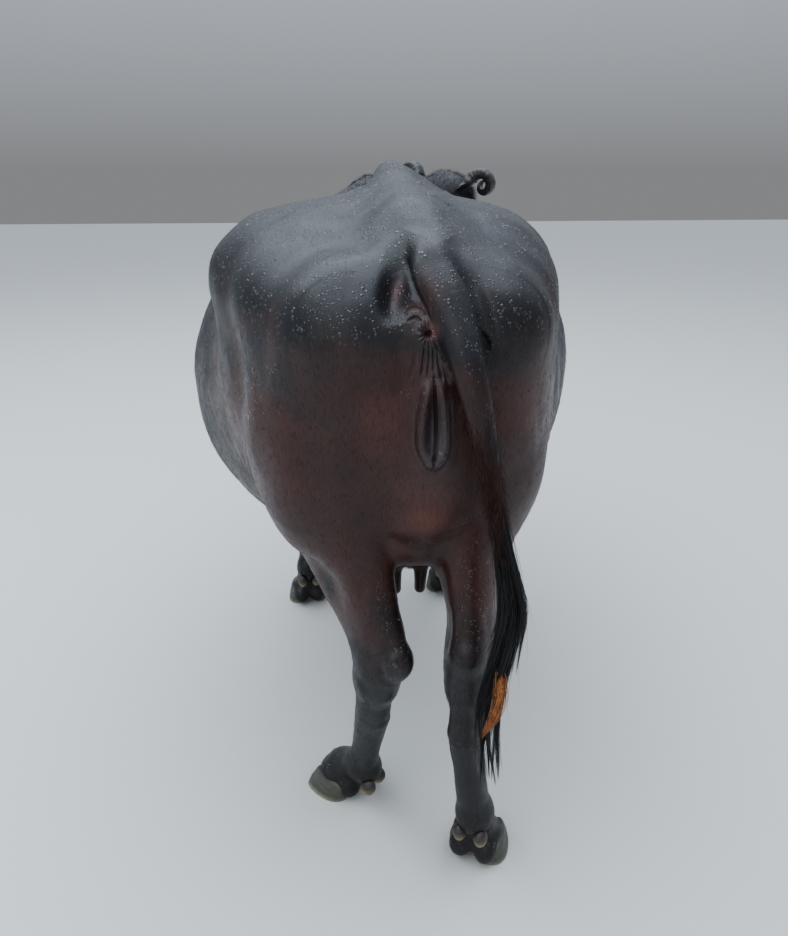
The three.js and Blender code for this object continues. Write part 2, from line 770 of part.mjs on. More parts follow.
const neckSkin = (grown) =>
  wrapped([[15, 1330, 1055], [305, 1838, 1200]], 28, 18, joined(neckForms, grown), Z_UP, [0.2, 0.2]);

const headSkin = (grown) =>
  wrapped(
    [[0, 20, -20], [0, 200, -26], [0, 430, -14]].map((p) => onHead(...p).toArray()),
    26,
    30,
    joined(headForms, grown),
    onHead(0, 0, 1).sub(onHead(0, 0, 0)).toArray(),
    [0.14, 0.18],
  );

const udderSkin = () =>
  wrapped([[0, 190, 700], [0, 400, 700]], 20, 16, joined(udderForms), Z_UP, [0.25, 0.25]);

const hindSkin = (s, grown) => {
  const { hock, cannon, fetlock, foot } = HIND[s];
  return wrapped(
    [[s * 150, 210, 800], moved(hock, s * 6, 24, 90), hock, cannon, fetlock, foot],
    14,
    26,
    joined(hindForms(s), grown),
    FORWARD,
    [0.1, 0.08],
  );
};

const foreSkin = (s, grown) => {
  const { elbow, knee, fetlock, foot } = FORE[s];
  return wrapped(
    [moved(elbow, 0, 10, 30), knee, fetlock, foot],
    14,
    24,
    joined(foreForms(s), grown),
    FORWARD,
    [0.1, 0.08],
  );
};

const tailSkin = (grown) =>
  wrapped(TAIL_LINE, 10, 22, joined(tailForms, grown), FORWARD, [0.06, 0.06]);

const SIDES = [
  { s: LEFT, side: "left" },
  { s: RIGHT, side: "right" },
];
const nodes = new Map();
const keep = (name, made, look) => nodes.set(name, { made: largest(made), look });

// Parts a body at a level plane, with the gap between the two
function parted(made, level, gap = GAP) {
  const upper = made.trimByPlane(Z_UP, level + gap / 2);
  const lower = made.trimByPlane([0, 0, -1], -level + gap / 2);
  return [upper, lower];
}

// Head with its lids, lips, mouth and nostrils
let head = headSkin(0);
for (const { s } of SIDES) head = head.add(lids(s)).subtract(nostril(s));
head = head.subtract(mouthLine());
for (const { s } of SIDES) head = head.subtract(eye(s, EYE_RADIUS + GAP));
const headGrown = headSkin(GAP).add(neckSkin(GAP));

for (const { s, side } of SIDES) {
  keep("horn_" + side, horn(s).subtract(headGrown), "horn");
  keep("ear_" + side, ear(s).subtract(headGrown), "hide");
  keep("eye_" + side, eye(s), "eye");
}

// Trunk, neck and head in one, then parted by thin cuts
const trunkGrown = trunkSkin(GAP);
let body = trunkSkin(0).add(neckSkin(0)).add(head);
for (const { s } of SIDES) body = body.add(hindSkin(s, 0).trimByPlane(Z_UP, HIND[s].hock[2] - 60));

function cutOff(name, centre, size, turn) {
  keep(name, body.intersect(region(centre, size, turn)), "hide");
  body = body.subtract(region(centre, size, turn, GAP));
}

const headMiddle = onHead(0, 235, -40).toArray();
cutOff("head", headMiddle, [330, 620, 420], [HEAD_TURN.pitch, HEAD_TURN.roll, HEAD_TURN.yaw]);
cutOff("neck", [180, 1740, 1090], [640, 520, 620], [0, 0, -24]);
for (const { s, side } of SIDES) {
  cutOff("hind_" + side + "_upper", [s * 170, 140, 545], [300, 560, 520], [-26, 0, 0]);
}
keep("torso", body, "hide");

// Legs, udder and tail, each cut back to the trunk

for (const { s, side } of SIDES) {
  const hindGrown = hindSkin(s, GAP);
  const foreGrown = foreSkin(s, GAP);
  const hindLower = hindSkin(s, 0).trimByPlane([0, 0, -1], -(HIND[s].hock[2] - 60 - GAP));
  keep("hind_" + side + "_lower", hindLower, "hide");
  const [foreUpper, foreLower] = parted(foreSkin(s, 0), FORE[s].knee[2] - 40);
  keep("fore_" + side + "_upper", foreUpper.subtract(trunkGrown), "hide");
  keep("fore_" + side + "_lower", foreLower, "hide");
  for (const [legName, legs, legGrown] of [["hind", HIND, hindGrown], ["fore", FORE, foreGrown]]) {
    const { foot, fetlock, toeOut } = legs[s];
    for (const [clawName, outer] of [["outer", 1], ["inner", -1]]) {
      const name = [legName, side, clawName].join("_");
      keep("claw_" + name, claw(s, foot, toeOut, outer).subtract(legGrown), "claw");
      keep("dewclaw_" + name, dewclaw(s, fetlock, toeOut, outer).subtract(legGrown), "claw");
    }
  }
}

let udder = udderSkin().subtract(trunkGrown);
for (const { s } of SIDES) udder = udder.subtract(hindSkin(s, GAP));
keep("udder", udder, "hide");

const TAIL_CUTS = [1120, 930];
const [tailRoot, tailRest] = parted(tailSkin(0).subtract(trunkGrown), TAIL_CUTS[0]);
const [tailMiddle, tailTip] = parted(tailRest, TAIL_CUTS[1]);
keep("tail_root", tailRoot, "hide");
keep("tail_middle", tailMiddle, "hide");
keep("tail_tip", tailTip.trimByPlane(Z_UP, SWITCH_LINE[0][2]), "hide");
keep("tail_switch", tailSwitch().trimByPlane([0, 0, -1], -SWITCH_LINE[0][2] + GAP), "hair");

// Looks and the scene graph

const LOOKS = {
  hide: { color: 0x2a2224, roughness: 0.45 },
  horn: { color: 0x2c2a27, roughness: 0.5 },
  claw: { color: 0x3b3a33, roughness: 0.6 },
  hair: { color: 0x151113, roughness: 0.6 },
  eye: { color: 0x0a0807, roughness: 0.1 },
};
const materials = Object.fromEntries(
  Object.entries(LOOKS).map(([name, look]) => [
    name,
    new THREE.MeshStandardMaterial({ ...look, metalness: 0 }),
  ]),
);

function meshOf(name, { made, look }) {
  const { vertProperties, triVerts } = made.getMesh();
  const shape = new THREE.BufferGeometry();
  shape.setAttribute("position", new THREE.BufferAttribute(vertProperties, 3));
  shape.setIndex(new THREE.BufferAttribute(triVerts, 1));
  shape.computeVertexNormals();
  const mesh = new THREE.Mesh(shape, materials[look]);
  mesh.name = name;
  return mesh;
}

const buffalo = new THREE.Group();
for (const [name, node] of nodes) buffalo.add(meshOf(name, node));
buffalo.position.set(-ORIGIN_X, -ORIGIN_Y, 0);

export default buffalo;
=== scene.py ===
"""Looks of a standing water buffalo cow, seen from behind: one wet, near-black skin over all the
flesh, with horns, claws, eyes, the hair of the tail and short tufts as pieces of their own."""
import itertools
import math

import bmesh
import bpy
import numpy as np
from mathutils import Matrix, Vector


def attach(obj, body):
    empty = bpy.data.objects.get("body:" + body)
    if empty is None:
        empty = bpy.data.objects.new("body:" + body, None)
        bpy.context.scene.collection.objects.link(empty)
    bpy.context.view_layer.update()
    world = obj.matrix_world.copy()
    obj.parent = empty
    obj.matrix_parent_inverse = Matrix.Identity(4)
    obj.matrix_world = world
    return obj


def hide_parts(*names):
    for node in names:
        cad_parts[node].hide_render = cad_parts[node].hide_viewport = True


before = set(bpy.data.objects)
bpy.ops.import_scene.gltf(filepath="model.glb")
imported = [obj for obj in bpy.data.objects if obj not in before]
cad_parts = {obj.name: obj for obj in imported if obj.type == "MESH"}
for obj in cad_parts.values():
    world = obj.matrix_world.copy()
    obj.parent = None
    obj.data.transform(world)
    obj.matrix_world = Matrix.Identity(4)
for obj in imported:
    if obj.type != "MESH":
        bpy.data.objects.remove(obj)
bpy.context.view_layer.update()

# Body values, in millimetres on the body's own frame: x to her right, y the way she faces, z up
ORIGIN = np.array([55.1, 1070.1, 0.0])
METRE = 0.001
CROUP_HEIGHT = 1380
WITHERS_HEIGHT = 1345
HOOK_HALF_WIDTH = 312
HIP_SWAY = -32
PIN_HALF_WIDTH = 130
BELLY_HALF_WIDTH = 466
HEAD_LENGTH = 500
EYE_RADIUS = 23
EAR_LENGTH = 225
CLAW_LENGTH = 122
CLAW_WIDTH = 60
CLAW_HEIGHT = 74
CLAW_HEEL_DROP = 0.44
CLAW_HEEL_SHARE = 0.78

LEFT, RIGHT = -1, 1
FORWARD = (0, 1, 0)
STANDING_POINT = np.array([-162, -1160, 1360])  # from where the folds behind her are laid out
TINY = 1e-9
rng = np.random.default_rng(7)


# Forms: each gives the distance of points from its surface, less than 0 inside


class Form:
    """A shape by its distances, with its own box, how far it blends, and whether it is cut out."""

    def __init__(self, distance, low, high, blend, carved=False, parts=()):
        self.distance = distance
        self.low = np.asarray(low, float)
        self.high = np.asarray(high, float)
        self.blend = blend
        self.carved = carved
        self.parts = parts


def mix(a, b, t):
    """From a to b by the share t."""
    return a + (b - a) * t


def level(a, low, high):
    """From 0 at low to 1 at high, with a soft start and end."""
    t = np.clip((a - low) / (high - low), 0, 1)
    return t * t * (3 - 2 * t)


def round_min(a, b, k):
    """The lesser of two distances, rounded over k where they meet."""
    h = np.clip(k - np.abs(a - b), 0, None) / k
    return np.minimum(a, b) - h * h * k * 0.25


def ellipsoid_distance(x, y, z, rx, ry, rz):
    k0 = np.sqrt((x / rx) ** 2 + (y / ry) ** 2 + (z / rz) ** 2)
    k1 = np.sqrt((x / rx**2) ** 2 + (y / ry**2) ** 2 + (z / rz**2) ** 2)
    return k0 * (k0 - 1) / np.maximum(k1, TINY)


def turned(axis, degrees):
    return np.array(Matrix.Rotation(math.radians(degrees), 3, axis))


def mass(at, half, blend, pitch=0, yaw=0, roll=0):
    """A muscle or bone end: an ellipsoid with half sizes along its own turned axes."""
    turn = turned("Z", yaw) @ turned("Y", roll) @ turned("X", pitch)
    at = np.asarray(at, float)
    reach = np.sqrt(((turn * np.asarray(half, float)) ** 2).sum(1))

    def distance(p):
        q = (p - at) @ turn
        return ellipsoid_distance(q[:, 0], q[:, 1], q[:, 2], *half)

    return Form(distance, at - reach, at + reach, blend)


def limb(start, end, size0, size1, blend, side=(1, 0, 0)):
    """A length of limb, with half width and half depth at each end; `side` is where the width lies."""
    a = np.asarray(start, float)
    ab = np.asarray(end, float) - a
    along = ab / np.linalg.norm(ab)
    fore = np.cross(side, along)
    fore /= np.linalg.norm(fore)
    across = np.cross(along, fore)
    reach = max(*size0, *size1)

    def distance(p):
        q = p - a
        t = np.clip(q @ ab / (ab @ ab), 0, 1)
        q = q - t[:, None] * ab
        w = mix(size0[0], size1[0], t)
        d = mix(size0[1], size1[1], t)
        return ellipsoid_distance(q @ across, q @ fore, q @ along, w, d, np.minimum(w, d))

    return Form(distance, np.minimum(a, a + ab) - reach, np.maximum(a, a + ab) + reach, blend)


def smooth_curve(points, count):
    """Points evenly placed in share along a centripetal curve through the given ones."""
    p = np.asarray(points, float)
    p = np.vstack([2 * p[0] - p[1], p, 2 * p[-1] - p[-2]])
    gaps = np.maximum(np.linalg.norm(np.diff(p, axis=0), axis=1) ** 0.5, 1e-4)
    knots = np.concatenate([[0], np.cumsum(gaps)])
    spans = len(points) - 1
    out = []
    for s in np.linspace(0, spans, count):
        i = min(int(s), spans - 1) + 1
        t = mix(knots[i], knots[i + 1], s - (i - 1))
        t0, t1, t2, t3 = knots[i - 1 : i + 3]
        a1 = (p[i - 1] * (t1 - t) + p[i] * (t - t0)) / (t1 - t0)
        a2 = (p[i] * (t2 - t) + p[i + 1] * (t - t1)) / (t2 - t1)
        a3 = (p[i + 1] * (t3 - t) + p[i + 2] * (t - t2)) / (t3 - t2)
        b1 = (a1 * (t2 - t) + a2 * (t - t0)) / (t2 - t0)
        b2 = (a2 * (t3 - t) + a3 * (t - t1)) / (t3 - t1)
        out.append((b1 * (t2 - t) + b2 * (t - t1)) / (t2 - t1))
    return np.array(out)


BARREL_CORE = 0.05  # share of a barrel's width inside which its distance is not worked out


def barrel(stations, roundness, blend, end_depth):
    """A rounded barrel: place along it, top, widest level, bottom, half width, middle."""
    table = smooth_curve(stations, 200)
    first, last = stations[0][0], stations[-1][0]
    reach = max(s[4] for s in stations)

    def distance(p):
        y = np.clip(p[:, 1], first, last)
        top, widest, bottom, wide, middle = (
            np.interp(y, table[:, 0], table[:, n]) for n in (1, 2, 3, 4, 5)
        )
        half = np.where(p[:, 2] > widest, top - widest, widest - bottom)
        x, dy, z = p[:, 0] - middle, p[:, 1] - y, p[:, 2] - widest
        k = (
            np.abs(x / wide) ** roundness
            + np.abs(dy / end_depth) ** roundness
            + np.abs(z / half) ** roundness
        ) ** (1 / roundness)
        r = np.sqrt(x * x + dy * dy + z * z)
        return np.where(k < BARREL_CORE, -half, r * (1 - 1 / np.maximum(k, BARREL_CORE)))

    low = [-reach - 20, first - end_depth, min(s[3] for s in stations)]
    high = [reach + 20, last + end_depth, max(s[1] for s in stations)]
    return Form(distance, low, high, blend)


def hollow(form):
    """The same form, cut out of what it meets."""
    form.carved = True
    return form


def row(forms, blend, inner=6):
    """Several forms in a row that make one form, without swelling where they meet."""

    def distance(p):
        d = forms[0].distance(p)
        for form in forms[1:]:
            d = round_min(d, form.distance(p), inner)
        return d

    low = np.min([f.low for f in forms], axis=0)
    high = np.max([f.high for f in forms], axis=0)
    return Form(distance, low, high, blend)


def near(p, low, high, margin):
    """Which points lie in a box grown by a margin."""
    return np.all((p > low - margin) & (p < high + margin), axis=1)


FAR = 1e4
REACH_BEYOND = 24  # how far past a form's own box and blend it is still worked out


def merged(d, own, part):
    """Distances with one more part rounded into them, or carved out of them."""
    if part.carved:
        return -round_min(-d, own, part.blend)
    return round_min(d, own, part.blend)


def planned(form, p):
    """The form's distance for points near p, with each part left out where it can't matter."""
    if not form.parts:
        return form.distance
    picks = []
    for part in form.parts:
        at = np.flatnonzero(near(p, part.low, part.high, part.blend + REACH_BEYOND))
        if len(at):
            picks.append((part, at, planned(part, p[at])))

    def distance(q):
        d = np.full(len(q), FAR)
        for part, at, own in picks:
            d[at] = merged(d[at], own(q[at]), part)
        return d

    return distance


def joined(forms, blend=1.0):
    """One form out of several, each rounded into those before it."""
    solids = [f for f in forms if not f.carved]
    low = np.min([f.low for f in solids], axis=0)
    high = np.max([f.high for f in solids], axis=0)
    return Form(None, low, high, blend, parts=forms)


def on_grid(form, axes, margin):
    """The slices of a grid that the form reaches, and its distances there."""
    margin = margin + form.blend
    cuts = []
    for axis, low, high in zip(axes, form.low, form.high):
        cuts.append(slice(*np.searchsorted(axis, [low - margin, high + margin])))
    own_axes = [axis[cut] for axis, cut in zip(axes, cuts)]
    shape = [len(axis) for axis in own_axes]
    if not form.parts:
        points = np.stack(np.meshgrid(*own_axes, indexing="ij"), axis=-1).reshape(-1, 3)
        return tuple(cuts), form.distance(points).reshape(shape)
    d = np.full(shape, FAR)
    for part in form.parts:
        at, own = on_grid(part, own_axes, REACH_BEYOND)
        d[at] = merged(d[at], own, part)
    return tuple(cuts), d


def pair(make):
    """The left and the right one."""
    return [make(LEFT), make(RIGHT)]


# Trunk

SPINE = [
    [0, 75, 1216],
    [HIP_SWAY * 0.3, 230, 1290],
    [HIP_SWAY * 0.5, 440, CROUP_HEIGHT - 40],
    [0, 640, 1312],
    [0, 880, 1282],
    [0, 1080, 1284],
    [0, 1250, WITHERS_HEIGHT - 42],
    [0, 1390, 1268],
]

# Place along the trunk, top, widest level, bottom, half width, middle
TRUNK_STATIONS = [
    [80, 1190, 1000, 800, 120, 0],
    [220, 1250, 990, 700, 235, -6],
    [430, 1298, 960, 590, 328, -18],
    [610, 1300, 890, 490, 410, -10],
    [790, 1292, 870, 435, BELLY_HALF_WIDTH, 0],
    [980, 1285, 885, 455, 436, 4],
    [1140, 1285, 925, 520, 350, 0],
    [1290, 1265, 955, 600, 262, 0],
    [1420, 1205, 955, 690, 185, 0],
]


def hook_at(s):
    return [s * (HOOK_HALF_WIDTH - 70) + HIP_SWAY, 430, 1206]


def trunk_forms():
    spine = smooth_curve(SPINE, 36)
    return [
        barrel(TRUNK_STATIONS, 2.08, 1, 80),
        row([limb(a, b, (30, 34), (30, 34), 1) for a, b in zip(spine, spine[1:])], 84, 0.05),
        # Rump: croup muscles, hip bones, the slopes from the ridge to them, and the pin bones
        *pair(lambda s: mass([s * 146 - 31, 330, 1172], (138, 200, 112), 80, roll=s * 12, pitch=6)),
        *pair(lambda s: mass(hook_at(s), (72, 96, 50), 80, roll=s * 20)),
        *pair(lambda s: limb([s * 44 - 14, 410, 1280], [s * 214 + HIP_SWAY, 425, 1232],
                             (120, 28), (100, 30), 70, FORWARD)),
        *pair(lambda s: limb([s * 34, 240, 1228], [s * 118, 160, 1170], (90, 28), (70, 28), 80, FORWARD)),
        *pair(lambda s: limb([s * 138 - 12, 270, 1140], [s * 110 - 10, 104, 1118],
                             (110, 104), (70, 74), 100)),
        *pair(lambda s: mass([s * (PIN_HALF_WIDTH - 4), 66, 1146], (44, 40, 40), 80)),
        # Root of the tail
        limb([-6, 330, 1288], [2, 100, 1220], (46, 32), (38, 34), 84),
        limb([2, 100, 1220], [12, 40, 1212], (38, 34), (30, 26), 60),
        # Thighs and flanks
        *pair(lambda s: mass([s * 170 - 22, 250, 940], (108, 200, 260), 90, pitch=-6)),
        *pair(lambda s: limb([s * 106 - 12, 78, 1110], [s * 100 - 12, 140, 760], (84, 84), (66, 84), 90)),
        *pair(lambda s: mass([s * 184 - 16, 318, 765], (58, 84, 105), 50)),
        *pair(lambda s: limb([s * 268 + HIP_SWAY, 470, 1120], [s * 256 - 6, 420, 840],
                             (54, 140), (50, 110), 90)),
        # Shoulders, brisket and the root of the neck
        *pair(lambda s: mass([s * 192, 1270, 1010], (90, 150, 240), 60, pitch=-14)),
        *pair(lambda s: mass([s * 222, 1150, 790], (66, 120, 140), 60)),
        *pair(lambda s: mass([s * 145, 1425, 930], (72, 80, 120), 60)),
        mass([0, 1380, 770], (120, 140, 150), 60),
        limb([0, 1240, 1030], [36, 1440, 1072], (204, 264), (112, 180), 90),
        # Between the thighs: the flesh below the tail, the vulva, and the end of it
        limb([0, 34, 1120], [0, 80, 820], (56, 40), (72, 44), 60),
        limb([10, 12, 1040], [12, 6, 934], (14, 10), (19, 14), 26),
        mass([4, 62, 812], (46, 44, 46), 44),
        # Hunger hollows ahead of the hips
        *pair(lambda s: hollow(mass([s * 352, 610, 1236], (56, 90, 44), 90))),
    ]


def udder_forms():
    return [
        mass([-2, 300, 700], (112, 160, 82), 40),
        mass([-3, 150, 748], (58, 96, 66), 44),
        *pair(lambda s: limb([s * 28 - 3, 205, 668], [s * 24 - 4, 200, 588], (18, 18), (11, 11), 16)),
        *pair(lambda s: limb([s * 46, 330, 640], [s * 48, 336, 574], (17, 17), (11, 11), 14)),
    ]


# Legs: joints from the top down, as placed in the stance

HIND = {
    RIGHT: dict(stifle=[168, 305, 765], gaskin=[96, 150, 800], gaskin_half=84, tendon=[81, 58, 744],
                heel=[81, 14, 554], heel_half=(25, 27, 30), hock=[94, 62, 492], cannon=[88, 52, 350],
                fetlock=[122, 72, 140], foot=[138, 104, 66], toe_out=30),
    LEFT: dict(stifle=[-196, 345, 760], gaskin=[-128, 150, 800], gaskin_half=57, tendon=[-84, 92, 740],
               heel=[-42, 46, 524], heel_half=(30, 28, 40), hock=[-72, 92, 488], cannon=[-78, 160, 330],
               fetlock=[-96, 262, 112], foot=[-138, 322, 62], toe_out=56),
}
FORE = {
    RIGHT: dict(elbow=[232, 1165, 720], knee=[226, 1190, 412],
                fetlock=[238, 1180, 142], foot=[242, 1222, 62], toe_out=8),
    LEFT: dict(elbow=[-232, 1150, 720], knee=[-212, 1170, 412],
               fetlock=[-222, 1160, 142], foot=[-226, 1200, 62], toe_out=8),
}


def moved(a, x, y, z):
    return np.array([a[0] + x, a[1] + y, a[2] + z], float)


def between(a, b, t):
    return mix(np.asarray(a, float), np.asarray(b, float), t)


def sideways(s, degrees):
    return np.array([math.cos(math.radians(degrees)), -s * math.sin(math.radians(degrees)), 0])


def ahead(s, degrees):
    return np.array([s * math.sin(math.radians(degrees)), math.cos(math.radians(degrees)), 0])


def step(a, direction, by, up=0):
    return np.asarray(a, float) + direction * by + np.array([0, 0, up])


def foot_forms(fetlock, foot, across, forward):
    yaw = math.degrees(math.atan2(across[1], across[0]))
    heels = step(foot, forward, -32, 36 - foot[2])
    return [
        mass(fetlock, (34, 36, 40), 20),
        mass(step(fetlock, forward, -18, -8), (26, 22, 32), 18),
        limb(fetlock, foot, (32, 33), (42, 38), 18, across),
        mass(step(foot, forward, 4, -6), (52, 48, 20), 16, yaw=yaw),
        *pair(lambda s: mass(step(heels, across, 27 * s), (25, 25, 28), 14)),
    ]


def hind_forms(s):
    leg = HIND[s]
    stifle, hock, cannon, fetlock = leg["stifle"], leg["hock"], leg["cannon"], leg["fetlock"]
    across = sideways(s, leg["toe_out"] * 0.5)
    heel = leg["heel"]
    return [
        limb(stifle, moved(hock, s * 4, 6, 44), (74, 84), (40, 50), 40),
        limb(leg["gaskin"], moved(hock, s * 4, -4, 90), (leg["gaskin_half"], 84), (36, 46), 40),
        limb(leg["tendon"], heel, (26, 22), (20, 20), 40),
        mass(heel, leg["heel_half"], 12),
        limb(heel, between(hock, cannon, 0.2), (22, 24), (28, 30), 24, across),
        limb(moved(hock, 0, 0, 26), between(hock, cannon, 0.3), (40, 47), (33, 40), 34, across),
        row([limb(hock, cannon, (35, 42), (32, 36), 6, across),
             limb(cannon, fetlock, (32, 36), (32, 34), 6, across)], 30),
        *foot_forms(fetlock, leg["foot"], sideways(s, leg["toe_out"]), ahead(s, leg["toe_out"])),
    ]


def fore_forms(s):
    leg = FORE[s]
    elbow, knee, fetlock = leg["elbow"], leg["knee"], leg["fetlock"]
    across = sideways(s, leg["toe_out"])
    forward = ahead(s, leg["toe_out"])
    below = moved(knee, 0, 0, -62)
    slim = between(knee, fetlock, 0.6)
    return [
        limb(moved(elbow, 0, 20, 30), between(elbow, knee, 0.55), (68, 100), (48, 62), 60),
        limb(between(elbow, knee, 0.45), moved(knee, 0, 0, 40), (50, 60), (38, 42), 40, across),
        mass(step(knee, forward, -34, 36), (20, 20, 30), 20),
        limb(moved(knee, 0, 0, 30), moved(knee, 0, 0, -34), (44, 42), (42, 38), 26, across),
        limb(below, slim, (33, 34), (29, 31), 26, across),
        limb(slim, fetlock, (29, 31), (30, 33), 20, across),
        *foot_forms(fetlock, leg["foot"], across, forward),
    ]


# Neck and head. The head has its own frame: x to her right, y from the poll to the muzzle,
# z out of the forehead.

POLL = np.array([318.0, 1868.0, 1260.0])
HEAD_TURN = turned("Z", -33) @ turned("X", -44) @ turned("Y", 7)
NECK_LINE = [[0, 1290, 1040], [60, 1490, 1085], [200, 1710, 1150], [312, 1858, 1198]]
NECK_HALF = [(168, 236), (124, 196), (96, 152), (86, 116)]
CREST_LINE = [[0, 1330, 1262], [90, 1540, 1270], [206, 1715, 1274], [302, 1850, 1280]]


def on_head(*p):
    """A place in the head's own frame, in the body's."""
    return HEAD_TURN @ np.array(p, float) + POLL


def in_head(p):
    """Places in the body's frame, in the head's own."""
    return (p - POLL) @ HEAD_TURN


def neck_forms():
    segments = zip(NECK_LINE, NECK_LINE[1:], NECK_HALF, NECK_HALF[1:])
    crest = smooth_curve(CREST_LINE, 9)
    return [
        row([limb(a, b, u, v, 1) for a, b, u, v in segments], 60, 60),
        row([limb(a, b, (40, 42), (40, 42), 1) for a, b in zip(crest, crest[1:])], 80, 2),
    ]


# Stations from the poll to the muzzle: place, forehead, widest level, jaw, half width, middle
HEAD_STATIONS = [
    [-30, 60, 0, -84, 80, 0],
    [40, 80, -6, -122, 94, 0],
    [120, 80, -14, -142, 98, 0],
    [210, 62, -22, -132, 84, 0],
    [300, 50, -24, -106, 72, 0],
    [390, 46, -18, -88, 72, 0],
    [HEAD_LENGTH - 40, 38, -14, -74, 74, 0],
]
EYE = np.array([97.0, 132.0, 28.0])
EYE_GAP = 0.6
MOUTH_LINE = [
    [-82, 338, -58], [-80, 390, -54], [-74, 436, -46], [-50, 480, -42], [0, 500, -40],
    [50, 480, -42], [74, 436, -46], [80, 390, -54], [82, 338, -58],
]


def head_forms():
    mouth = smooth_curve(MOUTH_LINE, 25)
    slit = (3.5, 3.5)
    return [
        barrel(HEAD_STATIONS, 2.4, 1, 36),
        mass([0, 6, 44], (84, 66, 46), 40),
        *pair(lambda s: mass([s * 70, 104, -70], (36, 74, 66), 36)),
        *pair(lambda s: mass([s * 84, 128, 30], (30, 46, 30), 26)),
        limb([0, 170, 42], [0, 420, 34], (32, 20), (34, 16), 30),
        *pair(lambda s: limb([s * 56, 200, -20], [s * 54, 320, -26], (22, 24), (16, 20), 30)),
        *pair(lambda s: mass([s * 46, HEAD_LENGTH - 44, 8], (38, 42, 40), 26)),
        *pair(lambda s: limb([s * 60, 350, -34], [s * 44, HEAD_LENGTH - 42, -18], (16, 20), (22, 20), 16)),
        *pair(lambda s: limb([s * 54, 340, -74], [s * 38, HEAD_LENGTH - 58, -62], (15, 16), (22, 18), 16)),
        mass([0, HEAD_LENGTH - 62, -64], (52, 44, 22), 20),
        *pair(lambda s: hollow(mass([s * 84, 196, 0], (16, 40, 20), 26))),
        *pair(lambda s: hollow(mass([s * 58, HEAD_LENGTH - 8, 12], (10, 32, 19), 8, yaw=s * 34))),
        hollow(row([limb(a, b, slit, slit, 1, (0, 0.3, 1)) for a, b in zip(mouth, mouth[1:])], 5, 2)),
        *pair(lambda s: hollow(mass(EYE * [s, 1, 1], (EYE_RADIUS + EYE_GAP,) * 3, 2))),
        *pair(lid_ring),
    ]


LID_AROUND = 14
UPPER_LID, LOWER_LID = (6.5, 6.5), (5, 5)


def lid_ring(s):
    """The lids: a rim round the eye, heavier above it."""
    rim, size = [], []
    for i in range(LID_AROUND + 1):
        a = 2 * math.pi * i / LID_AROUND
        out = 12 - 4 * abs(math.cos(a))
        rim.append(EYE * [s, 1, 1] + [s * out, 25 * math.cos(a), 16.5 * math.sin(a)])
        size.append(UPPER_LID if math.sin(a) > -0.2 else LOWER_LID)
    forms = [limb(a, b, u, v, 1, (1, 0.2, 0.1)) for a, b, u, v in zip(rim, rim[1:], size, size[1:])]
    return row(forms, 9, 3)


def carried_on_head(form):
    """The same form, placed on the turned head."""
    corners = np.array([[x, y, z] for x in (0, 1) for y in (0, 1) for z in (0, 1)])
    box = (form.low + corners * (form.high - form.low)) @ HEAD_TURN.T + POLL

    def distance(p):
        return form.distance(in_head(p))

    return Form(distance, box.min(0), box.max(0), form.blend, form.carved)


# Tail

TAIL_LINE = [
    [0, 150, 1204], [-3, 80, 1228], [14, 12, 1206], [40, -24, 1146],
    [56, -44, 1085], [80, -54, 985], [96, -57, 900], [116, -58, 800],
]
TAIL_HALF_WIDTHS = [38, 36, 31, 29, 26, 19, 14, 9]
SWITCH_LINE = [
    [96, -56, 905], [118, -58, 800], [138, -60, 690], [126, -56, 580], [110, -52, 470], [117, -50, 330],
]
SWITCH_HALF_WIDTHS = [14, 21, 24, 22, 24, 10]
TAIL_FLATNESS = 0.85
SWITCH_FLATNESS = 0.6


def tail_forms():
    line = smooth_curve([[*p, w] for p, w in zip(TAIL_LINE, TAIL_HALF_WIDTHS)], 60)
    sizes = [(p[3], p[3] * TAIL_FLATNESS) for p in line]
    lengths = zip(line, line[1:], sizes, sizes[1:])
    return [row([limb(a[:3], b[:3], u, v, 1) for a, b, u, v in lengths], 1, 0.05)]


def body_form():
    """All the flesh as one form."""
    return joined([
        joined(trunk_forms()),
        joined(neck_forms(), 60),
        joined([carried_on_head(f) for f in head_forms()], 40),
        joined(hind_forms(LEFT), 44),
        joined(hind_forms(RIGHT), 44),
        joined(fore_forms(LEFT), 50),
        joined(fore_forms(RIGHT), 50),
        joined(udder_forms(), 34),
        joined(tail_forms(), 26),
    ])


BODY = body_form()


# Skin: the form's surface as a mesh, by surface nets on a grid that is fine only near the surface

GRID_STEP = 8.0
HEEL_CLEARANCE = 2.0


def field_grid():
    low = BODY.low - 2 * GRID_STEP
    high = BODY.high + 2 * GRID_STEP
    axes = [np.arange(a, b, GRID_STEP) for a, b in zip(low, high)]
    _, field = on_grid(BODY, axes, 3 * GRID_STEP)
    return field, low


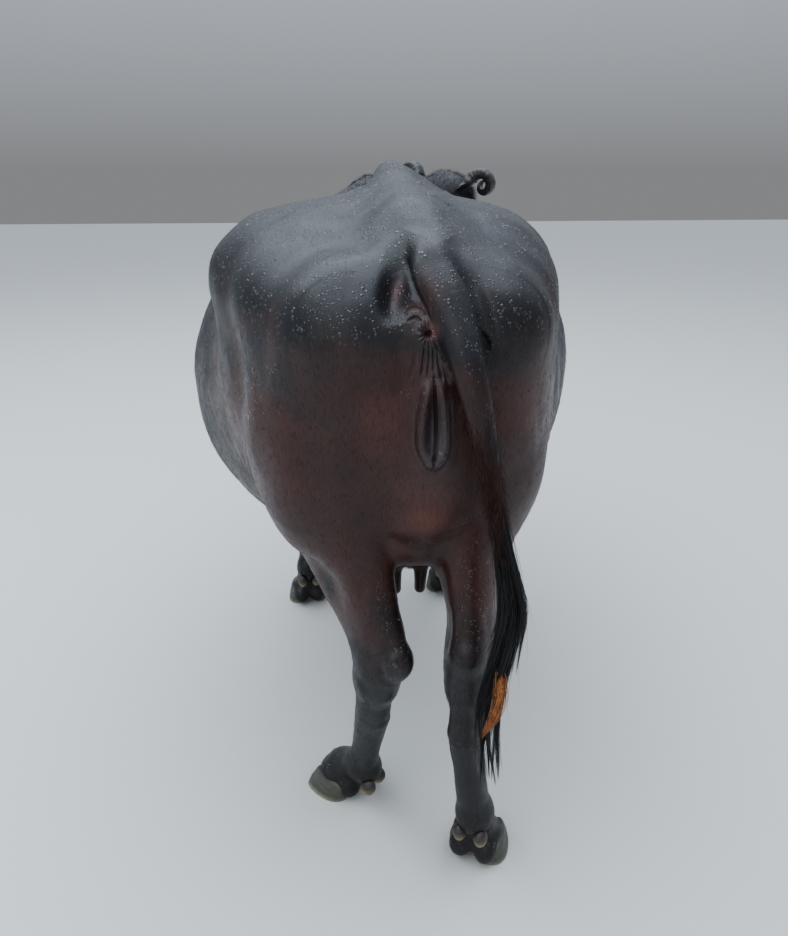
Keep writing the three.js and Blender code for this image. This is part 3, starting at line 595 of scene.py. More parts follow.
def surface_nets(field, low, size):
    """Quads round the level 0 of a grid, one vertex to each cell that the surface crosses."""
    inside = field < 0
    corner = [(x, y, z) for x in (0, 1) for y in (0, 1) for z in (0, 1)]
    shape = np.array(field.shape) - 1
    total = np.zeros(shape, np.int8)
    for x, y, z in corner:
        total += inside[x : x + shape[0], y : y + shape[1], z : z + shape[2]]
    cells = np.argwhere((total > 0) & (total < 8))
    number = np.full(shape, -1, np.int32)
    number[tuple(cells.T)] = np.arange(len(cells))
    value = np.stack([field[tuple((cells + c).T)] for c in corner], axis=1)
    place = np.zeros((len(cells), 3))
    hits = np.zeros(len(cells))
    for i, a in enumerate(corner):
        for j, b in enumerate(corner):
            if j <= i or sum(abs(np.subtract(a, b))) != 1:
                continue
            crossed = (value[:, i] < 0) != (value[:, j] < 0)
            t = value[:, i] / np.where(crossed, value[:, i] - value[:, j], 1)
            at = np.array(a) + t[:, None] * np.subtract(b, a)
            place += np.where(crossed[:, None], at, 0)
            hits += crossed
    verts = low + size * (cells + place / hits[:, None])
    quads = []
    for axis in range(3):
        u, v = (axis + 1) % 3, (axis + 2) % 3
        first = [slice(None)] * 3
        second = [slice(None)] * 3
        first[axis], second[axis] = slice(0, -1), slice(1, None)
        change = inside[tuple(first)] != inside[tuple(second)]
        edges = np.argwhere(change)
        edges = edges[(edges[:, u] > 0) & (edges[:, v] > 0) & np.all(edges < shape, axis=1)]
        du, dv = np.eye(3, dtype=int)[u], np.eye(3, dtype=int)[v]
        ring = [number[tuple(e.T)] for e in (edges - du - dv, edges - dv, edges, edges - du)]
        quad = np.stack(ring, axis=1)
        outward = inside[tuple(edges.T)]
        quad[~outward] = quad[~outward][:, ::-1]
        quads.append(quad)
    return verts, np.concatenate(quads)


SETTLE_LIMIT = 6.0


def settled(p, rounds=2):
    """Points moved onto the surface, each by no more than the limit in a round."""
    distance = planned(BODY, p)
    for _ in range(rounds):
        d = distance(p)
        slope = np.stack([distance(p + shift) - d for shift in np.eye(3)], axis=1)
        move = -d[:, None] * slope / np.maximum((slope**2).sum(1), 1e-3)[:, None]
        length = np.linalg.norm(move, axis=1)
        p = p + move * np.minimum(1, SETTLE_LIMIT / np.maximum(length, TINY))[:, None]
    return p


def split_quads(verts, quads, wanted):
    """Each wanted quad into four; a neighbour keeps its middle points on its edges."""
    mesh = bpy.data.meshes.new("split")
    mesh.from_pydata(verts.tolist(), [], quads)
    work = bmesh.new()
    work.from_mesh(mesh)
    work.faces.ensure_lookup_table()
    edges = {e for i in np.flatnonzero(wanted) for e in work.faces[i].edges}
    bmesh.ops.subdivide_edges(work, edges=list(edges), cuts=1, use_grid_fill=True)
    work.to_mesh(mesh)
    work.free()
    place = np.empty(len(mesh.vertices) * 3)
    mesh.vertices.foreach_get("co", place)
    faces = [tuple(f.vertices) for f in mesh.polygons]
    bpy.data.meshes.remove(mesh)
    return place.reshape(-1, 3), faces


def face_middles(verts, faces):
    counts = np.fromiter(map(len, faces), int, len(faces))
    flat = np.fromiter(itertools.chain.from_iterable(faces), int, counts.sum())
    starts = np.concatenate([[0], np.cumsum(counts)[:-1]])
    return np.add.reduceat(verts[flat], starts, axis=0) / counts[:, None]


# Where the skin is finer, and how many times its faces are split there
FINE_REGIONS = [
    ([-190, -120, 760], [230, 190, 1290], 1),  # tail root, vulva and the folds round them
    ([-260, -80, -10], [240, 420, 640], 1),  # hocks and hind feet
    ([-330, 1080, -10], [330, 1320, 470], 1),  # fore knees and feet
    ([-110, -120, 880], [110, 90, 1275], 2),  # anus and root of the tail
    ([-90, 160, 560], [90, 400, 720], 1),  # teats
    ([-36, -40, 900], [52, 60, 1172], 3),  # vulva
]
HEAD_BOX = np.array([[-140, -60, -170], [140, 540, 130]])
HEAD_REGIONS = [
    ([-120, -60, -150], [120, 520, 110], 1),
    ([-110, 320, -110], [110, 540, 90], 2),  # muzzle
    ([60, 90, -14], [130, 176, 72], 3),  # eyes
    ([-130, 90, -14], [-60, 176, 72], 3),
]


def to_model(p):
    return (p - ORIGIN) * METRE


def piece_from(name, verts, faces):
    mesh = bpy.data.meshes.new(name)
    mesh.from_pydata(np.asarray(verts).tolist(), [], [tuple(f) for f in faces])
    mesh.validate()
    mesh.polygons.foreach_set("use_smooth", [True] * len(mesh.polygons))
    piece = bpy.data.objects.new(name, mesh)
    bpy.context.scene.collection.objects.link(piece)
    return piece


# Creases and ridges of the skin, pressed into it along lines


def to_line(q, curve):
    """For each point, the square of its distance to a line, and its share of the way along it."""
    best = np.full(len(q), np.inf)
    share = np.zeros(len(q))
    for i, (a, b) in enumerate(zip(curve, curve[1:])):
        ab = b - a
        t = np.clip((q - a) @ ab / (ab @ ab), 0, 1)
        far = ((q - a - t[:, None] * ab) ** 2).sum(1)
        closer = far < best
        best[closer] = far[closer]
        share[closer] = (i + t[closer]) / (len(curve) - 1)
    return best, share


def fold(line, width, height, fade=0.25):
    """A ridge, or with a height below 0 a crease; two-number points are x and z, seen from behind."""
    return line, width, height, fade


def fold_height(p, line, width, height, fade):
    height_at = np.zeros(len(p))
    line = np.asarray(line, float)
    used = [0, 2] if line.shape[1] == 2 else [0, 1, 2]
    curve = smooth_curve(line, 5 * len(line)) if len(line) > 2 else line
    q = p[:, used]
    close = np.flatnonzero(near(q, curve.min(0), curve.max(0), 3 * width))
    if len(close):
        far, share = to_line(q[close], curve)
        taper = np.sin(np.clip(np.minimum(share, 1 - share) / fade, 0, 1) * math.pi / 2)
        height_at[close] = height * np.exp(-far / width**2) * taper
    return height_at


# Seen from the standing point behind her, on the plane across her tail
VULVA_FOLDS = [
    fold([[6, 1062], [-2, 1022], [-6, 984], [-5, 954], [5, 928]], 10.5, 14, 0.2),
    fold([[21, 1060], [27, 1012], [29, 976], [27, 948], [18, 928]], 10.5, 14, 0.2),
    fold([[2, 942], [8, 924], [20, 926], [26, 944]], 10, 8, 0.3),
    fold([[12, 1072], [13, 1025], [15, 990], [15, 957], [13, 931], [11, 908]], 1.6, -7, 0.2),
    fold([[-14, 1030], [-20, 993], [-18, 954], [-9, 926], [6, 906], [21, 907], [35, 927],
          [41, 952], [41, 984], [37, 1026]], 5, -2.4, 0.3),
    fold([[-9, 1026], [-1, 1020], [7, 1022]], 1.6, -1.6),
    fold([[-8, 1016], [0, 1008], [8, 1012]], 1.6, -1.4),
    fold([[-10, 990], [-4, 984], [5, 988]], 1.5, -1),
    fold([[20, 1000], [27, 994], [34, 1000]], 1.5, -1),
    fold([[20, 962], [27, 957], [34, 962]], 1.5, -0.9),
]
ANUS = [1, 1129]
ANUS_FOLDS = [
    fold([[-38, 1156], [-27, 1167], [-14, 1166], [-4, 1152]], 2.4, -3.4),
    fold([[-32, 1147], [-19, 1154], [-9, 1147]], 2.2, -3),
    fold([[-36, 1174], [-20, 1178], [-8, 1173]], 6, 1.5),
    fold([[-3, 1114], [-5, 1091], [-9, 1062]], 2.2, -2.8),
    fold([[3, 1114], [3, 1088], [1, 1062]], 1.8, -2.4),
    fold([[8, 1114], [10, 1088], [11, 1070]], 1.8, -2.6),
    fold([[13, 1112], [18, 1082], [25, 1054]], 2.2, -2.8),
    fold([[18, 1106], [25, 1078], [34, 1048]], 2.4, -2.6),
    fold([[-16, 1106], [-20, 1082], [-26, 1058]], 3.5, -2),
]
TAIL_SIDE_FOLDS = [
    fold([[-43, 1250], [-31, 1215], [-17, 1190], [-2, 1166], [16, 1134], [31, 1094], [46, 1058], [58, 1014]],
         6, -7, 0.2),
    fold([[-28, 1278], [-40, 1246], [-48, 1210], [-50, 1174], [-44, 1144]], 18, -22, 0.4),
    fold([[24, 1264], [44, 1228], [64, 1192], [79, 1154], [89, 1116], [97, 1070]], 15, -15, 0.4),
    fold([[38, 793], [53, 804], [79, 817]], 3, -2),
    fold([[40, 783], [58, 793], [86, 803]], 3, -2),
    fold([[45, 773], [62, 780], [89, 786]], 3, -2),
    fold([[-50, 1130], [-38, 1080], [-40, 1030]], 12, -3),
    *[fold([[-20 + 9 * n, 790 - 2 * n], [-16 + 6 * n, 768], [-18 + 7 * n, 748]], 2.4, -1.8)
      for n in range(7)],
]


def seen_from_behind(p):
    """Where the line from the standing point through each point meets the plane across the tail."""
    share = -STANDING_POINT[1] / (p[:, 1] - STANDING_POINT[1])
    return STANDING_POINT + (p - STANDING_POINT) * share[:, None]


def rosette(p):
    """The anus: a pit in a low mound, with folds that run out from it."""
    x, z = p[:, 0] - ANUS[0], p[:, 2] - ANUS[1]
    r = np.hypot(x, z * 0.85)
    a = np.arctan2(z, x)
    folds = np.cos(12 * a + 1.2 * np.sin(3 * a)) * np.exp(-(((r - 10) / 7) ** 2))
    return 3.5 * np.exp(-(((r - 13) / 9) ** 2)) - 9 * np.exp(-((r / 4) ** 2)) + 1.2 * folds


CLAW_CREASES = ((-6, 4), (-20, 3.4), (-34, 3))  # height over the fetlock, and width


def claw_creases(fetlock, forward, across):
    return [fold([step(fetlock, forward, -34, up) + across * t for t in (-34, 0, 34)], width, -3)
            for up, width in CLAW_CREASES]


def leg_folds(s):
    """Tendons, ridges beside the hock, and the creases of hock, knee and heels."""
    hind, fore = HIND[s], FORE[s]
    hock, cannon, fetlock = (np.array(hind[k], float) for k in ("hock", "cannon", "fetlock"))
    across, forward = sideways(s, hind["toe_out"] * 0.6), ahead(s, hind["toe_out"] * 0.6)
    folds = []
    for side in (-1, 1):
        folds.append(fold([step(hock, forward, -28, 150) + across * 26 * side,
                           step(hock, forward, -30, 90) + across * 30 * side,
                           step(hock, forward, -24, 30) + across * 34 * side], 12, -4))
        folds.append(fold([step(hock, forward, -18, -50) + across * 30 * side,
                           step(cannon, forward, -14, 0) + across * 27 * side,
                           step(fetlock, forward, -14, 50) + across * 28 * side], 9, -3.5, 0.3))
        folds.append(fold([step(hock, forward, 10, -20) + across * 42 * side,
                           step(hock, forward, 4, -60) + across * 38 * side], 12, 3))
    folds += claw_creases(fetlock, forward, across)
    for up in (-8, 2, 11):
        folds.append(fold([step(hock, forward, 44, up) + across * t for t in (-30, 0, 30)], 3.4, -2.6))
    knee, fetlock = (np.array(fore[k], float) for k in ("knee", "fetlock"))
    across, forward = sideways(s, fore["toe_out"]), ahead(s, fore["toe_out"])
    for side in (-1, 1):
        folds.append(fold([step(knee, forward, -16, -60) + across * 33 * side,
                           step(between(knee, fetlock, 0.5), forward, -14) + across * 30 * side,
                           step(fetlock, forward, -14, 50) + across * 29 * side], 9, -3.5, 0.3))
    for up in (34, 16, -4, -22):
        folds.append(fold([step(knee, forward, 42, up) + across * t for t in (-38, 0, 38)], 4, -2.6))
    return folds + claw_creases(fetlock, forward, across)


NECK_FOLD_BACK = np.array([118, 186])  # half width and half depth of the neck at its root
NECK_FOLD_FRONT = np.array([78, 118])  # and behind the head


def neck_folds(s):
    """Creases of the throat and the side of the neck, where the head turns."""
    along = np.array([0.72, 0.66, 0.2])
    side = np.cross(along, [0, 0, 1.0]) * s
    side /= np.linalg.norm(side)
    folds = []
    for n, share in enumerate(np.linspace(0.42, 0.97, 7)):
        middle = smooth_curve(NECK_LINE, 50)[int(share * 49)]
        width, depth = NECK_FOLD_BACK * (1 - share) + NECK_FOLD_FRONT * share
        line = []
        for a in np.radians([40, 10, -20, -50, -80]):
            at = middle + side * width * math.cos(a) + np.array([0, 6 * (n % 2), depth * math.sin(a)])
            line.append(at + along * 10 * math.sin(3 * a + n))
        folds.append(fold(line, 8, -5))
    return folds


def head_folds(s):
    """Creases on the head, in its own frame."""
    return [
        fold([[s * 96, 96, 62], [s * 84, 130, 72], [s * 70, 160, 64]], 5, -3),
        fold([[s * 92, 84, 74], [s * 78, 120, 84], [s * 62, 158, 72]], 5, -2.6),
        fold([[s * 110, 160, 4], [s * 104, 140, -4], [s * 106, 112, -2]], 3, -2.6),
        fold([[s * 108, 170, -6], [s * 102, 146, -16], [s * 104, 112, -14]], 3.4, -2.4),
        fold([[s * 100, 200, 10], [s * 88, 250, 6], [s * 78, 310, 0]], 9, -3),
        fold([[s * 40, 400, 60], [s * 30, 440, 56], [s * 34, 470, 40]], 4, -2.6),
        fold([[s * 70, 380, 20], [s * 74, 420, 10], [s * 66, 450, -4]], 4, -2.4),
        fold([[s * 20, 130, 90], [s * 24, 180, 74], [s * 18, 230, 62]], 5, -1.8),
        fold([[s * 78, 330, -60], [s * 92, 300, -62], [s * 96, 268, -72]], 4, -2.4),
        fold([[0, 440, 52], [0, 480, 20], [0, 502, -20]], 3, -2, 0.4),
        *[fold([[s * 10, 478 - 9 * n, 42 + 2 * n], [s * 34, 470 - 9 * n, 44 + 2 * n]], 2.2, -1.2)
          for n in range(4)],
    ]


# Wave lengths and heights
LUMPS = ((340, 1.6), (300, 1.6), (190, 0.6), (170, 0.6), (160, 0.6), (70, 0.16), (64, 0.16), (60, 0.16))


def lumps(p):
    """Slow unevenness of flesh under the skin."""
    waves = np.random.default_rng(3)
    total = np.zeros(len(p))
    for wave_length, height in LUMPS:
        way = waves.normal(size=3)
        way *= 2 * math.pi / wave_length / np.linalg.norm(way)
        bend = 1.3 * np.sin(p @ way[[1, 2, 0]])
        total += height * np.sin(p @ way + waves.uniform(0, 6.28) + bend)
    return total


def callus_height(p):
    """The callus on the point of the left hock, with a furrow round its inner side."""
    q = (p - HIND[LEFT]["heel"]) - [4, -22, -4]
    rim = np.linalg.norm(q * [1, 0.5, 0.8], axis=1)
    furrow = 3 * np.exp(-(((rim - 35) / 7) ** 2)) * level(q[:, 0], 12, -20)
    return 3 * np.exp(-(q**2).sum(1) / 13**2), furrow


def folded(p, out):
    """How far each point of the skin moves out along its normal."""
    trunk_share = np.ones(len(p))
    back = np.flatnonzero((p[:, 1] < 170) & (p[:, 2] > 740))
    apart = planned(TAIL, p[back])(p[back]) - planned(TRUNK, p[back])(p[back])
    trunk_share[back] = level(apart, -7, 5)
    move = lumps(p) * mix(0.15, 1, trunk_share)
    own = back[(out[back, 1] < 0.2) & (trunk_share[back] > 0)]
    q = seen_from_behind(p[own])
    rear = rosette(q)
    for one in VULVA_FOLDS + ANUS_FOLDS + TAIL_SIDE_FOLDS:
        rear += fold_height(q, *one)
    move[own] += rear * trunk_share[own]
    legs = np.flatnonzero(p[:, 2] < 720)
    for s in (LEFT, RIGHT):
        for one in leg_folds(s):
            move[legs] += fold_height(p[legs], *one)
        for one in neck_folds(s):
            move += fold_height(p, *one)
    callus, furrow = callus_height(p[legs])
    move[legs] += callus
    move[legs] -= furrow
    on = in_head(p)
    ahead_of_poll = np.flatnonzero(near(on, *HEAD_BOX, 0))
    for s in (LEFT, RIGHT):
        for one in head_folds(s):
            move[ahead_of_poll] += fold_height(on[ahead_of_poll], *one)
    return move


def slope(distance, p):
    """The way out of the form at each point."""
    d = distance(p)
    g = np.stack([distance(p + shift) - d for shift in np.eye(3)], axis=1)
    return g / np.maximum(np.linalg.norm(g, axis=1), TINY)[:, None]


def make_skin():
    field, low = field_grid()
    verts, faces = surface_nets(field, low, GRID_STEP)
    verts = settled(verts)
    faces = faces.tolist()
    for times in (1, 2, 3):
        middles = face_middles(verts, faces)
        on = in_head(middles)
        wanted = np.zeros(len(faces), bool)
        for places, regions in ((middles, FINE_REGIONS), (on, HEAD_REGIONS)):
            for box_low, box_high, splits in regions:
                if splits >= times:
                    wanted |= near(places, np.array(box_low), np.array(box_high), 0)
        verts, faces = split_quads(verts, faces, wanted)
        verts = settled(verts, 2 if times == 1 else 1)
    out = slope(planned(BODY, verts), verts)
    move = folded(verts, out)
    places = verts + out * move[:, None]
    places[:, 2] = np.maximum(places[:, 2], HEEL_CLEARANCE)
    return piece_from("skin", to_model(places), faces), verts, out, move


TAIL = joined(tail_forms())
TRUNK = joined(trunk_forms())
skin, skin_points, skin_out, skin_move = make_skin()


# Colours of the hide, the same for the skin and the hairs on it


def spot(p, at, size, colour, tones, strength):
    """Tints the tones round a place, with half sizes along x, y and z."""
    share = strength * np.exp(-(((p - np.array(at)) / np.array(size)) ** 2).sum(1))[:, None]
    return tones * (1 - share) + np.array(colour) * share


SLATE = (0.0105, 0.0105, 0.0125)
BROWN = (0.034, 0.0118, 0.0094)
RED_BROWN = (0.058, 0.0185, 0.0135)
LEG_GREY = (0.0100, 0.0086, 0.0088)
MUZZLE = (0.008, 0.007, 0.0075)


# Place, half sizes, colour and strength
TINTS = [
    ([108, 120, 675], [62, 120, 80], RED_BROWN, 0.9),  # over the hocks
    ([-50, 90, 660], [60, 120, 110], RED_BROWN, 0.35),
    ([-60, 40, 990], [60, 120, 80], RED_BROWN, 0.5),  # beside the vulva
    ([-120, 60, 1070], [50, 80, 60], RED_BROWN, 0.5),
    ([160, 60, 1010], [70, 120, 110], RED_BROWN, 0.6),
    ([2, 20, 815], [36, 60, 28], (0.10, 0.034, 0.024), 0.9),  # below it
    ([0, 10, 870], [40, 60, 40], (0.07, 0.027, 0.022), 0.7),
    ([12, 0, 985], [30, 40, 74], (0.026, 0.022, 0.024), 0.95),  # vulva
    # lighter grey on the puffy lower lips: partly their own tone, partly a painted sheen
    ([13, 0, 950], [18, 40, 34], (0.060, 0.050, 0.052), 0.8),
    ([8, 12, 1082], [22, 40, 30], (0.07, 0.046, 0.046), 0.85),  # between it and the anus
    ([-24, 14, 1142], [34, 40, 30], (0.030, 0.019, 0.019), 0.7),  # anus
    ([5, 0, 1137], [8, 40, 13], (0.15, 0.072, 0.062), 0.9),
    ([-20, 14, 1168], [14, 40, 6], (0.10, 0.052, 0.05), 0.85),
    ([-46, 30, 1194], [7, 40, 18], (0.085, 0.042, 0.042), 0.8),
    ([0, 260, 660], [110, 190, 60], (0.032, 0.015, 0.0135), 0.8),  # udder
]
for s in (LEFT, RIGHT):
    TINTS += [
        ([s * (26 - 4 * s), 200, 612], [24, 24, 42], (0.06, 0.032, 0.03), 0.8),  # teats
        ([s * 48, 334, 586], [24, 24, 42], (0.06, 0.032, 0.03), 0.8),
        (HIND[s]["heel"], [40, 44, 58], LEG_GREY, 0.95),
        (on_head(s * 108, 132, 28), [34, 34, 34], (0.007, 0.006, 0.006), 0.7),  # round the eye
    ]
TINTS.append((moved(HIND[LEFT]["heel"], 4, -24, -4), [17, 20, 20], (0.026, 0.024, 0.023), 0.6))  # callus


def hide_tones(p, out):
    """Slate above, brown on the lower sides of the hind quarters, grey legs and a dark muzzle."""
    waves = lumps(p * 1.7) / 2
    below_back = level(1212 + 50 * waves - 0.2 * np.abs(p[:, 0]) - p[:, 2], 0, 200)
    brown = level(-out[:, 2] + 0.2 * waves, -0.62, 0.0) * below_back
    brown *= level(p[:, 2], 430, 560) * level(760 - p[:, 1], 0, 420)
    tones = mix(np.array(SLATE), np.array(BROWN), brown[:, None])
    low = level(600 + 30 * waves - p[:, 2], 0, 120)[:, None]
    tones = mix(tones, np.array(LEG_GREY), low)
    for at, size, colour, strength in TINTS:
        tones = spot(p, at, size, colour, tones, strength)
    muzzle = level((p - POLL) @ HEAD_TURN[:, 1] + 10 * waves, 400, 450)[:, None]
    return mix(tones, np.array(MUZZLE), muzzle)


def paint(piece, tones):
    """Keeps a tone at each point of a piece, for its material."""
    layer = piece.data.color_attributes.new("tone", "FLOAT_COLOR", "POINT")
    rgba = np.concatenate([tones, np.ones((len(tones), 1))], axis=1)
    layer.data.foreach_set("color", rgba.astype(np.float32).ravel())


paint(skin, hide_tones(skin_points, skin_out))


# Pieces made of rings


def loft(rings):
    """Points and faces through rings of equal count, with a middle point at each end."""
    rings = np.asarray(rings, float)
    count, around = rings.shape[:2]
    verts = list(rings.reshape(-1, 3))
    faces = []
    for r in range(count - 1):
        for i in range(around):
            j = (i + 1) % around
            faces.append((r * around + i, r * around + j, (r + 1) * around + j, (r + 1) * around + i))
    for ring, flip in ((0, True), (count - 1, False)):
        verts.append(rings[ring].mean(0))
        for i in range(around):
            j = (i + 1) % around
            a, b = (j, i) if flip else (i, j)
            faces.append((ring * around + a, ring * around + b, len(verts) - 1))
    return np.array(verts), faces


def facing_out(verts, faces):
    """The faces, turned round if the closed piece would face inwards."""
    volume = 0.0
    for f in faces:
        for i in range(1, len(f) - 1):
            volume += np.dot(verts[f[0]], np.cross(verts[f[i]], verts[f[i + 1]]))
    return faces if volume > 0 else [tuple(reversed(f)) for f in faces]


def closed_piece(name, rings, material, replaced, tones):
    """A closed piece through rings, in place of nodes of the frame."""
    verts, faces = loft(rings)
    piece = piece_from(name, to_model(verts), facing_out(verts, faces))
    paint(piece, tones(verts))
    piece.data.materials.append(material)
    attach(piece, "root")
    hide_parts(*replaced)


# Horns: a tight coil out of the side of the poll, flat in section, ringed near its root

HORN_COIL = dict(x=146, y=-41, z=44, radius=40, forward=70, turns=1.4)
HORN_TILT = 40
HORN_START = 236
HORN_HALF = (23, 33)
HORN_TIP = (5, 6)
HORN_TIP_RADIUS = 14
HORN_ROOT = 0.12  # share of its length that leads into the head
HORN_ROOT_SLOPE = 420


def horn_rings(s, steps=150, sides=32):
    rings = []
    for i in range(steps + 1):
        t = i / steps
        angle = math.radians(HORN_START) - t * HORN_COIL["turns"] * 2 * math.pi
        radius = mix(HORN_COIL["radius"], HORN_TIP_RADIUS, t**1.4)
        root = max(HORN_ROOT - t, 0) * HORN_ROOT_SLOPE
        middle = [math.cos(angle) * radius - root, (t - 0.5) * HORN_COIL["forward"]]
        ridge = 1 + 0.03 * (1 - t) * math.sin(t * 150 + 3 * math.sin(t * 23)) - 0.02
        thickness = mix(HORN_HALF[0], HORN_TIP[0], t**1.6) * ridge
        width = mix(HORN_HALF[1], HORN_TIP[1], t**1.3) * ridge
        if i == steps:
            thickness, width = thickness * 0.4, width * 0.4
        ring = []
        for k in range(sides):
            a = 2 * math.pi * k / sides
            flat = 1 - 0.12 * math.cos(2 * a) ** 2
            out = math.cos(a) * thickness * flat
            place = [middle[0] + math.cos(angle) * out, middle[1] + math.sin(a) * width * flat,
                     math.sin(angle) * (radius + out)]
            x, y, z = turned("X", HORN_TILT) @ place
            ring.append(on_head(s * (HORN_COIL["x"] + x), HORN_COIL["y"] + y, HORN_COIL["z"] + z))
        rings.append(ring)
    return rings


# Ears: a leaf with a hollow front

EAR = dict(x=84, y=54, z=-66, half_width=46, thickness=7)


def ear_rings(s, steps=44, half=18):
    rings = []
    for i in range(steps + 1):
        t = i / steps
        out = t * EAR_LENGTH
        width = mix(20, EAR["half_width"], math.sin(min(t * 1.9, 1) * math.pi / 2))
        tip = math.sqrt(max(1 - max(t - 0.45, 0) ** 2 / 0.305, 0.002))
        half_width = width * tip
        depth = mix(34, 13, min(t * 1.6, 1)) * max(tip, 0.12)
        droop = -52 * t * t
        wave = 2.0 * math.sin(t * 19) * t
        ring = []

        def put(angle, inward):
            across = math.cos(angle) * (half_width - inward * 0.6)
            back = math.sin(angle) * depth - inward
            rib = 0.8 * math.sin(angle * 9) * math.sin(angle) * (1 if inward else 0)
            x = EAR["x"] + out * 0.94
            y = EAR["y"] - (back + rib) * 0.9 + droop * 0.2 + wave * abs(math.cos(angle)) ** 3
            ring.append(on_head(s * x, y - out * 0.16, EAR["z"] + across + droop))

        for k in range(half + 1):
            put(math.pi * k / half, 0)
        for k in range(half - 1, 0, -1):
            put(math.pi * k / half, EAR["thickness"] * max(tip, 0.3))
        rings.append(ring)
    return rings


# Claws: two to a foot, and two small ones behind the fetlock

CLAW_SHOULDER = 62
# Height, size and shift to the rear
CLAW_LEVELS = [(0, 1, 0), (30, 0.92, -8), (54, 0.82, -17), (CLAW_HEIGHT, 0.64, -26)]


def claw_rings(s, foot, toe_out, outer, sides=48, levels=30):
    forward, across = ahead(s, toe_out), sideways(s, toe_out)
    zs, sizes, shifts = zip(*CLAW_LEVELS)
    rings = []
    for i in range(levels + 1):
        z = CLAW_HEIGHT * i / levels
        size, shift = np.interp(z, zs, sizes), np.interp(z, zs, shifts)
        ridge = 1 + 0.006 * math.sin(z * 0.75) + 0.004 * math.sin(z * 1.9 + foot[0])
        lip = 1 + 0.035 * math.exp(-(((z - 60) / 7) ** 2))
        size *= (ridge * lip) if i else 0.985
        if z > CLAW_SHOULDER:
            size *= math.sqrt(max(1 - ((z - CLAW_SHOULDER) / (CLAW_HEIGHT + 2 - CLAW_SHOULDER)) ** 2, 0.05))
        ring = []
        for k in range(sides):
            a = 2 * math.pi * k / sides
            toe, wide = math.cos(a), math.sin(a)
            reach = CLAW_HEEL_SHARE if toe < 0 else 1
            y = 18 + shift + toe * CLAW_LENGTH * 0.5 * size * reach
            flat = 0.72 if wide < 0 else 1
            x = 2 + CLAW_WIDTH * 0.5 + wide * CLAW_WIDTH * 0.5 * size * flat * (1 - 0.22 * toe)
            p = np.array([foot[0], foot[1], 0.0]) + across * x * outer * s + forward * y
            p[2] = max(z * (1 - CLAW_HEEL_DROP * (1 - toe) * 0.5), 0)
            ring.append(p)
        rings.append(ring)
    return rings


DEWCLAW_HALF = (14, 18, 22)


def dewclaw_rings(s, fetlock, toe_out, outer, sides=24, levels=14):
    forward, across = ahead(s, toe_out), sideways(s, toe_out)
    lean = turned("Z", -s * toe_out) @ turned("X", 24)
    wide, deep, high = DEWCLAW_HALF
    x = 22 * outer * s
    at = np.array(fetlock, float) + across * x - forward * 26 + [0, 0, -40]
    rings = []
    for i in range(levels + 1):
        a = math.pi * (0.04 + 0.92 * i / levels)
        ridge = 1 + 0.03 * math.sin(i * 2.6)
        ring = []
        for k in range(sides):
            b = 2 * math.pi * k / sides
            p = [wide * math.sin(a) * math.cos(b) * ridge, deep * math.sin(a) * math.sin(b) * ridge,
                 -high * math.cos(a)]
            ring.append(at + lean @ np.array(p))
        rings.append(ring)
    return rings


# Eyes: a dark ball with a clear front that stands out a little


def eye_rings(s, sides=40, levels=28):
    rings = []
    for i in range(levels + 1):
        a = math.pi * (0.02 + 0.96 * i / levels)
        bulge = 1 + 0.05 * math.exp(-((a / 0.62) ** 2))
        ring = []
        for k in range(sides):
            b = 2 * math.pi * k / sides
            r = EYE_RADIUS * bulge
            q = [s * r * math.cos(a), r * math.sin(a) * math.cos(b), r * math.sin(a) * math.sin(b)]
            ring.append(on_head(*(EYE * [s, 1, 1] + q)))
        rings.append(ring)
    return rings


# Hair: thin tapered strands and blades, many joined in one piece


def hairs(name, lines, widths, sides, material, tones=None, replaced=()):
    """A piece of three-sided tapered hairs; `lines` holds each hair's points from root to tip."""
    count, points = lines.shape[:2]
    t = np.linspace(0, 1, points)[None, :, None]
    half = widths[:, None, None] * 0.5 * (1 - t**2.2)
    sides = sides / np.linalg.norm(sides, axis=1)[:, None]
    up = np.cross(np.gradient(lines, axis=1), sides[:, None, :])
    up /= np.maximum(np.linalg.norm(up, axis=2), TINY)[:, :, None]
    across = sides[:, None, :] * half
    rings = np.stack([lines - across, lines + up * half * 0.8, lines + across], axis=2)
    body = rings[:, :-1].reshape(count, -1, 3)
    verts = np.concatenate([body, lines[:, -1:]], axis=1)
    each = verts.shape[1]
    one = [(2, 1, 0)]
    for r in range(points - 2):
        for k in range(3):
            a, b = r * 3 + k, r * 3 + (k + 1) % 3
            one.append((a, b, b + 3, a + 3))
    base = (points - 2) * 3
    one += [(base + k, base + (k + 1) % 3, each - 1) for k in range(3)]
    starts = np.arange(count) * each
    faces = [face for f in one for face in (starts[:, None] + np.array(f)).tolist()]
    piece = piece_from(name, to_model(verts.reshape(-1, 3)), faces)
    piece.data.materials.append(material)
    if tones is not None:
        paint(piece, np.repeat(tones, each, axis=0))
    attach(piece, "root")
    if replaced:
        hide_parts(*replaced)
    bake_patches(piece, lines[:, 0], each)


# The unwrap for baking: each part of the body is rolled off round its own bone line, in its own strip

UNWRAP_LINES = [
    [[0, 60, 1000], [0, 800, 880], [0, 1330, 960]],
    NECK_LINE,
    [on_head(0, 0, -20), on_head(0, 240, -30), on_head(0, 470, -14)],
    *[[leg["stifle"], leg["hock"], leg["cannon"], leg["fetlock"], leg["foot"]] for leg in HIND.values()],
    *[[leg["elbow"], leg["knee"], leg["fetlock"], leg["foot"]] for leg in FORE.values()],
    TAIL_LINE + SWITCH_LINE[2:],
]
UNWRAP_POINTS = 30
UNWRAP_REACH = 60  # how far along a line, in its points' spacing, one share reaches
PATCH = 0.003


